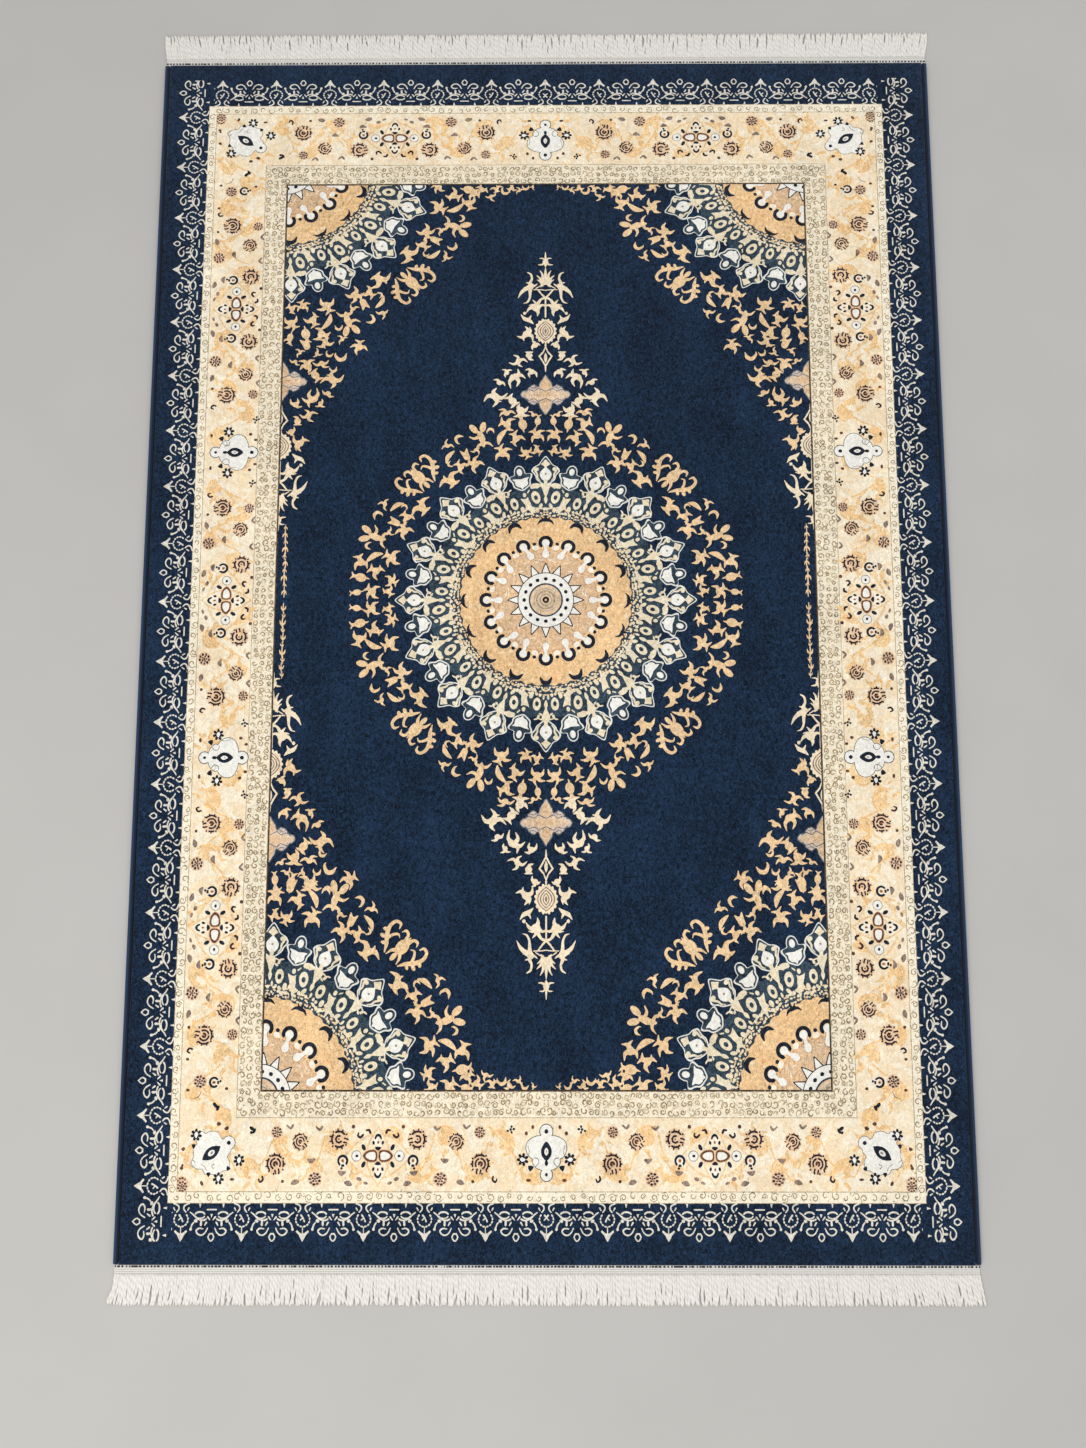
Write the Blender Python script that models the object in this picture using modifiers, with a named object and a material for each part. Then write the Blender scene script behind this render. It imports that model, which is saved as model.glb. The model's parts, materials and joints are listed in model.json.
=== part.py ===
"""Velvet rug, lying flat on a floor.

Metres, +Z up. The origin is on the floor under the middle of the rug, and +Y runs along its length.
The rug is a pile slab with an overcast edge down each long side and, at each short end, a woven header
whose warp yarns are left long as a fringe.
"""

from math import pi, sin

import bmesh
import bpy
import numpy as np
from mathutils import Matrix

# The rug as sold, without its fringe
RUG_WIDTH = 1.200
RUG_LENGTH = 1.800
PILE_HEIGHT = 0.007

# The overcast edge of the long sides
BINDING_WIDTH = 0.008
BINDING_HEIGHT = 0.0078
BINDING_ROUND = 0.003

# The fringe, measured outward from the pile
FRINGE_REACH = 0.055
HEADER_DEPTH = 0.015
HEADER_THICKNESS = 0.003
HEADER_INSET = 0.0015
STRANDS = 148
STRAND_WIDTH = 0.0054
STRAND_SPLAY = 0.009
STRAND_TRIM = 0.004
STRAND_SWAY = 0.0011

# Sections of a strand: share of its length, width and height against its root, share of its sway
STRAND_SECTIONS = (
    {"along": 0.34, "width": 0.88, "height": 0.86, "sway": 0.8},
    {"along": 0.70, "width": 0.78, "height": 0.76, "sway": -0.5},
    {"along": 1.00, "width": 0.56, "height": 0.56, "sway": 1.0},
)

GAP = 0.0003
EDGE_ROUND = 0.0012
ROUND_SEGMENTS = 2

COLOURS = {
    "pile": {"colour": (0.012, 0.028, 0.075), "roughness": 0.95},
    "binding": {"colour": (0.016, 0.040, 0.105), "roughness": 0.85},
    "fringe": {"colour": (0.790, 0.765, 0.700), "roughness": 0.90},
}


def clear_scene():
    for obj in list(bpy.data.objects):
        bpy.data.objects.remove(obj, do_unlink=True)


def make_material(name):
    look = COLOURS[name]
    material = bpy.data.materials.new(name)
    material.use_nodes = True
    shader = material.node_tree.nodes["Principled BSDF"]
    shader.inputs["Base Color"].default_value = (*look["colour"], 1)
    shader.inputs["Roughness"].default_value = look["roughness"]
    shader.inputs["Metallic"].default_value = 0
    material.diffuse_color = (*look["colour"], 1)
    return material


def make_object(name, mesh, material, parent, collection):
    mesh.materials.append(material)
    obj = bpy.data.objects.new(name, mesh)
    obj.parent = parent
    collection.objects.link(obj)
    return obj


def add_rounding(obj, width):
    bevel = obj.modifiers.new("rounded edges", "BEVEL")
    bevel.width = width
    bevel.segments = ROUND_SEGMENTS
    bevel.limit_method = "ANGLE"


def bar_mesh(name, size_x, size_y, size_z):
    """A bar of this size that stands on the floor, centred on its origin."""
    bm = bmesh.new()
    bmesh.ops.create_cube(bm, size=1, matrix=Matrix.Diagonal((size_x, size_y, size_z, 1)))
    bmesh.ops.translate(bm, verts=bm.verts, vec=(0, 0, size_z / 2))
    mesh = bpy.data.meshes.new(name)
    bm.to_mesh(mesh)
    bm.free()
    return mesh


def strand_centres():
    header_width = RUG_WIDTH - 2 * HEADER_INSET
    pitch = header_width / STRANDS
    return (np.arange(STRANDS) - (STRANDS - 1) / 2) * pitch


def header_columns():
    """Where the header's outer face is divided: its two ends and both sides of every strand's root."""
    header_half = RUG_WIDTH / 2 - HEADER_INSET
    roots = strand_centres()[:, None] + np.array([-0.5, 0.5]) * STRAND_WIDTH
    return np.concatenate([[-header_half], roots.ravel(), [header_half]])


def make_header(bm):
    """Builds the header with its outer face at HEADER_DEPTH, and returns the faces the strands grow from."""
    columns = header_columns()
    segments = len(columns) - 1
    bmesh.ops.create_grid(
        bm, x_segments=segments, y_segments=1, size=0.5, matrix=Matrix.Rotation(pi / 2, 4, "X")
    )
    for vert in bm.verts:
        column = round((vert.co.x + 0.5) * segments)
        top = vert.co.z > 0
        vert.co = (columns[column], HEADER_DEPTH, HEADER_THICKNESS if top else 0)
    outer_faces = sorted(bm.faces, key=lambda face: face.calc_center_median().x)
    extruded = bmesh.ops.extrude_face_region(bm, geom=bm.faces[:])["geom"]
    back = [item for item in extruded if isinstance(item, bmesh.types.BMVert)]
    bmesh.ops.translate(bm, verts=back, vec=(0, -HEADER_DEPTH, 0))
    return outer_faces[1::2]


def grow_strand(bm, root, centre, length, sway):
    """Extrudes one strand from its root face, section by section, always flat on the floor."""
    splay = STRAND_SPLAY * (2 * centre / RUG_WIDTH) ** 3
    face = root
    middle = centre
    for section in STRAND_SECTIONS:
        half = STRAND_WIDTH * section["width"] / 2
        height = HEADER_THICKNESS * section["height"]
        along = section["along"]
        next_middle = centre + splay * along ** 2 + sway * section["sway"]
        face = bmesh.ops.extrude_discrete_faces(bm, faces=[face])["faces"][0]
        for vert in face.verts:
            side = 1 if vert.co.x > middle else -1
            top = vert.co.z > 0
            narrowing = 0.72 if top else 1
            vert.co = (
                next_middle + side * half * narrowing,
                HEADER_DEPTH + length * along,
                height if top else 0,
            )
        middle = next_middle


def fringe_mesh(name, seed):
    """A header with its strands, from the pile's end at y = 0 outward. The longest strand reaches FRINGE_REACH."""
    rng = np.random.default_rng(seed)
    centres = strand_centres()
    trim = rng.uniform(0, STRAND_TRIM, STRANDS)
    lengths = FRINGE_REACH - HEADER_DEPTH - (trim - trim.min())
    drift = np.array([sin(0.9 * k) + 0.6 * sin(0.37 * k + seed) for k in range(STRANDS)]) / 1.6
    sways = STRAND_SWAY * (0.6 * drift + 0.4 * rng.uniform(-1, 1, STRANDS))
    sways[[0, -1]] = 0
    bm = bmesh.new()
    roots = make_header(bm)
    for root, centre, length, sway in zip(roots, centres, lengths, sways):
        grow_strand(bm, root, centre, length, sway)
    bmesh.ops.recalc_face_normals(bm, faces=bm.faces)
    mesh = bpy.data.meshes.new(name)
    bm.to_mesh(mesh)
    bm.free()
    return mesh


def make_body(material, parent, collection):
    width = RUG_WIDTH - 2 * (BINDING_WIDTH + GAP)
    mesh = bar_mesh("rug_body", width, RUG_LENGTH, PILE_HEIGHT)
    add_rounding(make_object("rug_body", mesh, material, parent, collection), EDGE_ROUND)


def make_binding(name, side, material, parent, collection):
    mesh = bar_mesh(name, BINDING_WIDTH, RUG_LENGTH, BINDING_HEIGHT)
    binding = make_object(name, mesh, material, parent, collection)
    binding.location.x = side * (RUG_WIDTH - BINDING_WIDTH) / 2
    add_rounding(binding, BINDING_ROUND)


def make_fringe(name, seed, end, material, parent, collection):
    """end is 1 for the far end and -1 for the near one, where the same form is turned half round."""
    fringe = make_object(name, fringe_mesh(name, seed), material, parent, collection)
    fringe.location.y = end * (RUG_LENGTH / 2 + GAP)
    fringe.rotation_euler.z = 0 if end > 0 else pi


def main():
    clear_scene()
    collection = bpy.data.collections.new("velvet_rug")
    bpy.context.scene.collection.children.link(collection)
    root = bpy.data.objects.new("velvet_rug_origin", None)
    collection.objects.link(root)
    materials = {name: make_material(name) for name in COLOURS}
    make_body(materials["pile"], root, collection)
    make_binding("binding_left", -1, materials["binding"], root, collection)
    make_binding("binding_right", 1, materials["binding"], root, collection)
    make_fringe("fringe_far", 3, 1, materials["fringe"], root, collection)
    make_fringe("fringe_near", 8, -1, materials["fringe"], root, collection)
    bpy.context.view_layer.update()


main()
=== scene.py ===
# Velvet rug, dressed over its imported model: patterned pile, backing, overcast edges and knotted fringes.
# Lengths in the pattern are millimetres, everything handed to Blender is in metres.
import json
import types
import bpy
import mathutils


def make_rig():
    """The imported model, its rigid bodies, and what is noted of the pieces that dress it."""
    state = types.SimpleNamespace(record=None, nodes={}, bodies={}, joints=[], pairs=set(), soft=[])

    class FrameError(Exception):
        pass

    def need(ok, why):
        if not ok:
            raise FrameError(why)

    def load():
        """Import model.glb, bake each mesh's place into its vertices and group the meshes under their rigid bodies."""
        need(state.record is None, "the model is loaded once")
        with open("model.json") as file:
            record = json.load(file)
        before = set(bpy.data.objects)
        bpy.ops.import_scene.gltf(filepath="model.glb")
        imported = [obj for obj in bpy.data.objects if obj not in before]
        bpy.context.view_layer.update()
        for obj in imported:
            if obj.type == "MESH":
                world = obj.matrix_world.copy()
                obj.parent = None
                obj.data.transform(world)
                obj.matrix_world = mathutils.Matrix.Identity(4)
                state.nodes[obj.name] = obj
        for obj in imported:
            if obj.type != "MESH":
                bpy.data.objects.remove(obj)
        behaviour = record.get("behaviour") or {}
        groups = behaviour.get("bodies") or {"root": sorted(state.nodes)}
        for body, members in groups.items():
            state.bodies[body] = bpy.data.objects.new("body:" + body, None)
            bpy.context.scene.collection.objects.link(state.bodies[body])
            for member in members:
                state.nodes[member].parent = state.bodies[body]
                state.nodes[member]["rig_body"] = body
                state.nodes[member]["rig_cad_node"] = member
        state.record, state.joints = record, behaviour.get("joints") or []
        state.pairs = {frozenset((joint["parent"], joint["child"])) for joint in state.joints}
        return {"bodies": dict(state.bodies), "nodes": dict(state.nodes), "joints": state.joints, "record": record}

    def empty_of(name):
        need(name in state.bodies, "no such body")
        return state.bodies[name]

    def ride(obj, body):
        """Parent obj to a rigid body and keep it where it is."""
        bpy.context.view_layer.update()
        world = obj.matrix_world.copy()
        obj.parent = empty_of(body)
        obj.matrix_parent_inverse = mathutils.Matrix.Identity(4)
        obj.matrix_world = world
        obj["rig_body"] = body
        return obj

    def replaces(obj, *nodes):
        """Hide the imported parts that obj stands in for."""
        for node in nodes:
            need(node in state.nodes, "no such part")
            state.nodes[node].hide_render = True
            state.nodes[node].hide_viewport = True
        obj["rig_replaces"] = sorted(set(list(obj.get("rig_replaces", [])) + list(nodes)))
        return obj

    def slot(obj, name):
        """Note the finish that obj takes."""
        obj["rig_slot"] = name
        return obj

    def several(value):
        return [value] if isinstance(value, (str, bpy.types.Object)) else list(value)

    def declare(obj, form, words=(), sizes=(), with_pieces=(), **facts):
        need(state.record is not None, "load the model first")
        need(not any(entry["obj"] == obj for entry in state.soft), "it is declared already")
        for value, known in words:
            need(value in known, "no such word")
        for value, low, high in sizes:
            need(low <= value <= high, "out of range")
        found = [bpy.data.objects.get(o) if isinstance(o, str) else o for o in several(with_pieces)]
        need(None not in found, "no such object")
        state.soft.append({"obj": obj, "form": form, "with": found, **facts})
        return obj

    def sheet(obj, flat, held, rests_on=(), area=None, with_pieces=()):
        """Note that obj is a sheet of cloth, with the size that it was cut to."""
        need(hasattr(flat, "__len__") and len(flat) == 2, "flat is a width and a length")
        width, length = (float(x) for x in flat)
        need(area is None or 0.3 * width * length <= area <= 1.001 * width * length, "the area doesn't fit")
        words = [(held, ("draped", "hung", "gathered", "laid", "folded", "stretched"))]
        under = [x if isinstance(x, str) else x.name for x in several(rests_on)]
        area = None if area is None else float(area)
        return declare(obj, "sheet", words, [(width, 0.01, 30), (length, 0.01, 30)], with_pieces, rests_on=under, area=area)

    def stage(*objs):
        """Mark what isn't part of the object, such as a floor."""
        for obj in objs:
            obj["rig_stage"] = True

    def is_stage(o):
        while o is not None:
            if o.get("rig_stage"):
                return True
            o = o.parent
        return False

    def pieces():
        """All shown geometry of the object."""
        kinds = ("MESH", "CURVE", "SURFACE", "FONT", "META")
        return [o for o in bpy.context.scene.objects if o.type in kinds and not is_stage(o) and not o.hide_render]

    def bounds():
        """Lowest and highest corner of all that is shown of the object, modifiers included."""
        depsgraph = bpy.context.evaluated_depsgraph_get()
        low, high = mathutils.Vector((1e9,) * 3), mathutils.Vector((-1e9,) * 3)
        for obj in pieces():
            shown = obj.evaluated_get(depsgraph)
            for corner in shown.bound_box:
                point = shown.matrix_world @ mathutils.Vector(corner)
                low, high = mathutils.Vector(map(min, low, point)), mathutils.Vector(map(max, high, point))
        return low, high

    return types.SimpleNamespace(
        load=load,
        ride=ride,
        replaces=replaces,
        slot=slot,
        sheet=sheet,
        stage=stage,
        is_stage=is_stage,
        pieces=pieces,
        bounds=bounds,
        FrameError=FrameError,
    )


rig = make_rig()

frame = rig.load()

import json
from itertools import chain
from math import cos, pi, radians, sin

import bmesh
import bpy
import numpy as np
from mathutils.geometry import delaunay_2d_cdt

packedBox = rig.bounds()

rug = {
    "width": 1200.0,          # mm, with the overcast edges
    "length": 1800.0,         # mm, without the fringe
    "pileHeight": 7.0,
    "edgeWidth": 8.0,
    "seam": 0.6,              # mm of open groove between the pile and each overcast edge
    "rimDrop": 1.3,           # mm the pile falls at its outer rim
    "rimReach": 2.2,          # mm over which it falls
    "backTop": 6.2,           # mm, top of the woven back under the pile
    "shift": 37.5,            # mm the middle of the pattern lies towards the far end
    "shiftPower": 1.85,
}

bands = {                     # mm from the middle of the rug to each band's outer edge, across and along
    "field": (400.0, 680.5), "seam": (401.6, 682.4), "innerGuard": (435.0, 716.5), "border": (514.0, 809.0),
    "outerGuard": (527.0, 824.0),
}

tones = {                     # sRGB, 0 to 255
    "navy": (23, 40, 61), "ink": (30, 36, 47), "slate": (54, 70, 81), "white": (244, 240, 228),
    "cream": (238, 225, 195), "ground": (250, 236, 208), "peach": (236, 198, 148), "pale": (252, 243, 224),
    "scroll": (245, 208, 154), "sand": (238, 207, 163), "sandDark": (224, 191, 153), "guard": (245, 233, 207),
    "olive": (164, 144, 110), "oliveLight": (190, 172, 138), "edge": (250, 239, 214), "haze": (170, 153, 124),
    "mauve": (112, 88, 88), "bit": (142, 122, 108), "umber": (52, 38, 46), "rust": (158, 104, 70),
    "brown": (96, 66, 52), "blush": (227, 199, 167), "taupe": (205, 186, 158), "line": (158, 150, 138),
    "slateLine": (92, 98, 100), "lace": (226, 219, 203), "leaf": (238, 205, 160), "leafPale": (244, 226, 194),
    "lilac": (206, 188, 174), "seamBrown": (66, 56, 48), "outline": (234, 231, 219),
    "rustLight": (212, 166, 124), "peachLight": (247, 220, 178), "peachDark": (229, 180, 124),
    "peachSoft": (241, 212, 168), "pinkish": (237, 205, 168),
}


# outlines, all as arrays of points in millimetres

# Closed smooth outline: a cubic curve through the points in turn, whose direction at each point is that of
# the line between its two neighbours.
def loop(points, steps=4):
    p = np.asarray(points, float)
    t = np.linspace(0, 1, steps, endpoint=False)[None, :, None]
    a, b, c, d = (np.roll(p, s, axis=0)[:, None, :] for s in (1, 0, -1, -2))
    q = b + 0.5 * ((c - a) * t + (2 * a - 5 * b + 4 * c - d) * t ** 2 + (3 * b - a - 3 * c + d) * t ** 3)
    return q.reshape(-1, 2)


# Open smooth path: the same curve, its ends carried on straight.
def way(points, steps=4):
    p = np.asarray(points, float)
    p = np.vstack([2 * p[0] - p[1], p, 2 * p[-1] - p[-2]])
    t = np.linspace(0, 1, steps, endpoint=False)[None, :, None]
    a, b, c, d = (p[k:len(p) - 3 + k, None, :] for k in range(4))
    q = b + 0.5 * ((c - a) * t + (2 * a - 5 * b + 4 * c - d) * t ** 2 + (3 * b - a - 3 * c + d) * t ** 3)
    return np.vstack([q.reshape(-1, 2), p[-2]])


# Strip along a path: both sides lie half the local width away from it, and the ends are rounded.
def ribbon(points, widths, steps=4):
    path = way(points, steps)
    half = np.interp(np.linspace(0, 1, len(path)), np.linspace(0, 1, len(widths)), widths)[:, None] / 2
    ahead = np.gradient(path, axis=0)
    ahead /= np.linalg.norm(ahead, axis=1)[:, None]
    across = np.stack([-ahead[:, 1], ahead[:, 0]], 1)
    end, start = path[-1] + ahead[-1] * half[-1], path[0] - ahead[0] * half[0]
    return np.vstack([path - across * half, end, (path + across * half)[::-1], start])


# Horn: a strip that leaves its root wide and runs out to a tip, bowed sideways by bend times its length.
def horn(x0, y0, x1, y1, width, bend=0.18):
    bow = np.array([(x0 + x1) / 2 - bend * (y1 - y0), (y0 + y1) / 2 + bend * (x1 - x0)])
    return ribbon([(x0, y0), bow, (x1, y1)], (width, width * 0.72, 1.1), 3)


# Ellipse of half axes a and b, turned by so many degrees.
def oval(x, y, a, b=None, turn=0, count=12):
    t = np.linspace(0, 2 * pi, count, endpoint=False)
    b, c, s = a if b is None else b, cos(radians(turn)), sin(radians(turn))
    u, v = a * np.cos(t), b * np.sin(t)
    return np.stack([x + u * c - v * s, y + u * s + v * c], 1)


# Place at a distance from the middle, at an angle in radians.
def polar(radius, a):
    return radius * cos(a), radius * sin(a)


# Arc strip: radius from the middle, from one angle to another.
def arc(x, y, radius, start, stop, width, count=8, tall=1.0):
    t = np.radians(np.linspace(start, stop, count))
    return ribbon(np.stack([x + radius * np.cos(t), y + radius * tall * np.sin(t)], 1), (width, width), 1)


# Almond: two arcs that meet in points at both ends of its length.
def almond(x, y, length, width, turn=0, count=7):
    t = np.linspace(-1, 1, count)
    side = np.stack([t * length / 2, (1 - t ** 2) * width / 2], 1)
    shape = np.vstack([side * (1, -1), side[::-1][1:-1]])
    return placed(shape, x, y, turn)


# Scalloped disc: the radius swells and shrinks with the given number of lobes.
def scallop(x, y, radius, lobes, depth, turn=0, each=6):
    t = np.linspace(0, 2 * pi, lobes * each, endpoint=False)
    r = radius * (1 + depth * np.abs(np.cos(lobes * (t - radians(turn)) / 2)) - depth)
    return np.stack([x + r * np.cos(t), y + r * np.sin(t)], 1)


# Moves an outline: sized, flipped, turned by degrees, then set down at x, y.
def placed(shape, x, y, turn=0, size=1.0, flip=1):
    c, s = cos(radians(turn)), sin(radians(turn))
    return (shape * (size * flip, size)) @ np.array([[c, s], [-s, c]]) + (x, y)


# Outline moved outwards along its own normals by so many millimetres.
def grown(shape, by):
    ahead = np.roll(shape, -1, axis=0) - np.roll(shape, 1, axis=0)
    ahead /= np.linalg.norm(ahead, axis=1)[:, None] + 1e-9
    return shape + by * np.stack([ahead[:, 1], -ahead[:, 0]], 1) * np.sign(areaOf(shape))


# Signed area: half the sum of x times the next y less the next x times y.
def areaOf(shape):
    x, y = shape[:, 0], shape[:, 1]
    return 0.5 * float(np.sum(x * np.roll(y, -1) - y * np.roll(x, -1)))


# Points of the right half of an outline, followed by those of its left half.
def mirrored(half):
    return [*half, *[(-x, y) for x, y in half[::-1] if x]]


# Left-right pair of an outline about x = 0.
def both(*shapes):
    return [side for shape in shapes for side in (shape, shape * (-1, 1))]


# painting: later outlines lie over earlier ones

leftHalf = (-600.0, 0.0, -900.0, 900.0)      # lowest and highest x, then y, that is painted
painted = {"outlines": [], "tones": [], "region": leftHalf}


# Cuts an outline at x or y = limit and keeps the side below it, or above it when side is -1.
def cutAt(shape, axis, limit, side):
    near = side * (shape[:, axis] - limit)
    after = np.roll(near, -1)
    crossing = (near < 0) != (after < 0)
    share = np.where(crossing, near / np.where(crossing, near - after, 1), 0)[:, None]
    meeting = shape + share * (np.roll(shape, -1, axis=0) - shape)
    meeting[:, axis] = limit
    pairs = np.stack([shape, meeting], 1)
    keep = np.stack([near <= 0, crossing & (near != 0)], 1)
    return pairs[keep]


# Adds outlines of one tone over those before, cut at the edges of the region. Specks are left out.
def paint(tone, *shapes):
    x0, x1, y0, y1 = painted["region"]
    for shape in shapes:
        low, high = shape.min(0), shape.max(0)
        if low[0] >= x1 - 0.05 or high[0] <= x0 + 0.05 or low[1] >= y1 - 0.05 or high[1] <= y0 + 0.05:
            continue
        if high[0] > x1:
            shape = cutAt(shape, 0, x1, 1)
        if low[0] < x0:
            shape = cutAt(shape, 0, x0, -1)
        if high[1] > y1:
            shape = cutAt(shape, 1, y1, 1)
        if low[1] < y0:
            shape = cutAt(shape, 1, y0, -1)
        if len(shape) < 3:
            continue
        area = areaOf(shape)
        if abs(area) < 0.2:
            continue
        painted["outlines"].append(shape if area > 0 else shape[::-1])
        painted["tones"].append(tone)


# A motif is a list of (tone, outline or list of outlines). This puts each of its outlines through a mapping.
def moved(motif, mapping):
    return [(tone, [mapping(shape) for shape in (shapes if isinstance(shapes, list) else [shapes])])
            for tone, shapes in motif]


# Paints every outline of a motif through a mapping.
def lay(motif, mapping):
    for tone, shapes in moved(motif, mapping):
        paint(tone, *shapes)


# Mapping to a place, with its turn in degrees, its size and, where flip is -1, a mirror image.
def spot(x, y, turn=0, size=1.0, flip=1):
    return lambda shape: placed(shape, x, y, turn, size, flip)


# Polar place: a motif drawn in degrees across and millimetres outward is wrapped round a middle.
def wrapped(x, y, turn, size=1.0, flip=1):
    def mapping(shape):
        a = np.radians(turn + flip * shape[:, 0])
        return np.stack([x + size * shape[:, 1] * np.cos(a), y + size * shape[:, 1] * np.sin(a)], 1)
    return mapping


# leaves

# Spiky leaf: a disc with a horn from its middle to each tip, bent to one side and the other in turn.
def spiky(body, tips, width=7.0, tone="leaf", x=0.0, y=0.0):
    shapes = [oval(x, y, body * 1.05, body * 0.95, 0, 10)]
    for k, (tx, ty) in enumerate(tips):
        shapes.append(horn(x, y, x + 0.96 * (tx - x), y + 0.96 * (ty - y), width, 0.27 if k % 2 else -0.27))
    return [(tone, shapes)]


# Leaf shapes in one tone, each about its own middle.
def leafKinds(tone):
    return {
        "star": spiky(5.5, [(1, 16), (14, 7), (-13, 8), (9, -12), (-10, -10)], 7.5, tone),
        "maple": spiky(5.5, [(3, 15), (14, 3), (-15, 3), (-5, -13), (7, -9)], 8.0, tone),
        "wide": spiky(5.5, [(2, 12), (18, 4), (-18, 1), (-9, -9), (9, -8)], 8.5, tone),
        "twig": spiky(3.0, [(-2, 12), (10, -3), (-10, -4)], 5.0, tone),
        "hook": [(tone, [ribbon([(-9, -4), (-4, 4), (4, 5), (9, -3), (8, -8)], (1, 6.5, 6.5, 4, 1))])],
        "drop": [(tone, [loop([(0, 9), (5, 2), (4, -6), (-3, -7), (-5, 1)])])],
        "vase": [(tone, [loop([(0, 4), (5, 9), (5, 1), (4, -8), (-3, -9), (-5, 0), (-6, 8)])])],
        "sliver": [(tone, [loop([(-15, -2), (-5, 4), (6, 4), (15, -5), (4, -4)])])],
        "bud": [(tone, [oval(0, -1, 6.5, 8.5), horn(0, 5, -6, 14, 5, -0.2), horn(0, 5, 5, 14, 5, 0.2),
                        horn(0, -6, 1, -14, 4, 0.1)])],
        "lily": [(tone, [ribbon([(0, -15), (-1, -4), (0, 5)], (4, 9, 7)), oval(-7, 12, 4.3, 8, 28),
                         oval(6, 13, 4.3, 8, -24), horn(0, -11, -12, -19, 5, -0.2),
                         horn(0, -11, 11, -18, 5, 0.2), horn(2, 0, 15, 4, 5, -0.2)])],
    }


# Leaves of an eighth of the ring round a medallion: degrees, radius, kind, turn, size.
ringLeaves = [
    (2.4, 281, "bud", 8, 0.72), (7.2, 278, "bud", -8, 1.0), (11.9, 281, "maple", -12, 1.0),
    (17.4, 277, "hook", 25, 0.6), (21.0, 274, "lily", 4, 1.1), (27.4, 284, "hook", -25, 0.75),
    (31.6, 282, "twig", 20, 0.95), (2.8, 257, "star", 0, 0.95), (10.0, 256, "maple", 30, 0.95),
    (14.7, 265, "sliver", -42, 0.95), (3.3, 234, "maple", 175, 0.72), (7.4, 232, "star", 196, 0.8),
    (15.8, 237, "star", 22, 1.05), (24.2, 257, "twig", 165, 0.8), (28.0, 257, "vase", 0, 1.0),
    (26.6, 236, "star", -14, 1.0), (31.7, 243, "maple", 34, 0.85), (33.0, 267, "sliver", -20, 0.8),
    (34.2, 256, "hook", -70, 0.5), (37.6, 234, "wide", -8, 1.1),
]


# Larger flower on the diagonal of a ring: a middle with curled arms between two mirrored sides.
def cornerFlower(tone):
    side = [ribbon([(-13, -22), (-19, -12), (-27, -3), (-32, 8), (-30, 18), (-23, 20), (-20, 14)],
                   (1.6, 5.4, 6.4, 5, 4.4, 4, 1.2)),
            oval(-33, 1, 4.4, 2.8, 30, 10), oval(-30, -8, 4.4, 2.8, 20, 10), oval(-23, -14, 3.8, 2.4, 30, 10),
            ribbon([(-24, -8), (-21, 2), (-16, 8), (-11, 6)], (4.6, 3.8, 3, 1.0))]
    middle = [oval(0, 0, 8.5, 11.5), horn(0, -6, -10, -22, 6, -0.15), horn(0, -6, 10, -22, 6, 0.15),
              oval(0, -17, 3.4, 7), ribbon([(-3, 9), (-5, 17), (-11, 19), (-14, 14)], (5, 4, 4, 1.2)),
              ribbon([(3, 9), (5, 17), (11, 19), (14, 14)], (5, 4, 4, 1.2)), horn(0, 8, 0, 17, 5, 0)]
    return [(tone, middle + both(*side))]


# Ring of mirrored eighths: each leaf stands at its radius and angle and turns with the angle.
def ringOfLeaves(x, y, size=1.0, tone="leaf", wedges=range(8)):
    kinds = leafKinds(tone)
    for wedge in wedges:
        start, flip = 90 * (wedge // 2), 1 if wedge % 2 == 0 else -1
        for degrees, radius, kind, turn, leafSize in ringLeaves:
            a = start + (degrees if flip > 0 else 90 - degrees)
            dx, dy = polar(size * radius, radians(a))
            lay(kinds[kind], spot(x + dx, y + dy, a - 90 - flip * turn, leafSize * size, -flip))
        if flip > 0:
            dx, dy = polar(size * 270, radians(start + 45))
            lay(cornerFlower(tone), spot(x + dx, y + dy, start - 45, size))


# medallion, drawn in degrees across and millimetres outward

# An edge, its squeezed copy inside it, and pale parts along the middle.
def palmette():
    edge = loop([(0, 224), (1.5, 218), (2.9, 211), (4.9, 207.5), (6.1, 202), (5.6, 198), (4.7, 193),
                 (4.3, 187), (2.8, 182), (0.9, 178), (-0.9, 178), (-2.8, 182), (-4.4, 187), (-5.0, 192.5),
                 (-6.2, 197.5), (-6.2, 202), (-5.1, 207), (-3.0, 210.5), (-1.6, 217.5)], 3)
    return [
        ("outline", edge),
        ("slate", squeezed(edge, 0, 200, 0.89, 1.9)),
        ("cream", both(ribbon([(4.5, 200.5), (3.7, 195), (3.7, 190), (2.6, 185)], (1.0, 0.5), 3))),
        ("cream", [loop(mirrored([(0, 218.6), (1.0, 214.5), (1.9, 211), (0.9, 208.6), (0.35, 206),
                                  (0.4, 203)]), 3),
                   oval(-4.1, 203.4, 1.2, 3.4, 0, 10), oval(4.0, 203.4, 1.2, 3.2, 0, 10)]),
        ("white", loop(mirrored([(0, 206), (1.3, 202.5), (2.5, 197), (2.4, 191), (1.1, 185.5)]), 3)),
        ("cream", loop([(-0.9, 186.5), (-0.8, 181), (-2.0, 176.5), (-1.7, 170), (-0.8, 163.5), (-0.5, 160),
                        (-1.0, 155), (0, 148.5), (1.0, 155), (0.5, 160), (0.9, 163.5), (1.5, 170),
                        (2.2, 176.5), (0.8, 181), (0.9, 186.5)], 3)),
        ("haze", [oval(0, 195.5, 0.5, 1.8, 0, 8)]),
    ]


# Outline drawn in towards a point: across by a share, outward by millimetres from both sides.
def squeezed(shape, cx, cy, share, by):
    v = shape - (cx, cy)
    return np.stack([cx + v[:, 0] * share, cy + v[:, 1] * (1 - by / (np.abs(v[:, 1]).max()))], 1)


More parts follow.
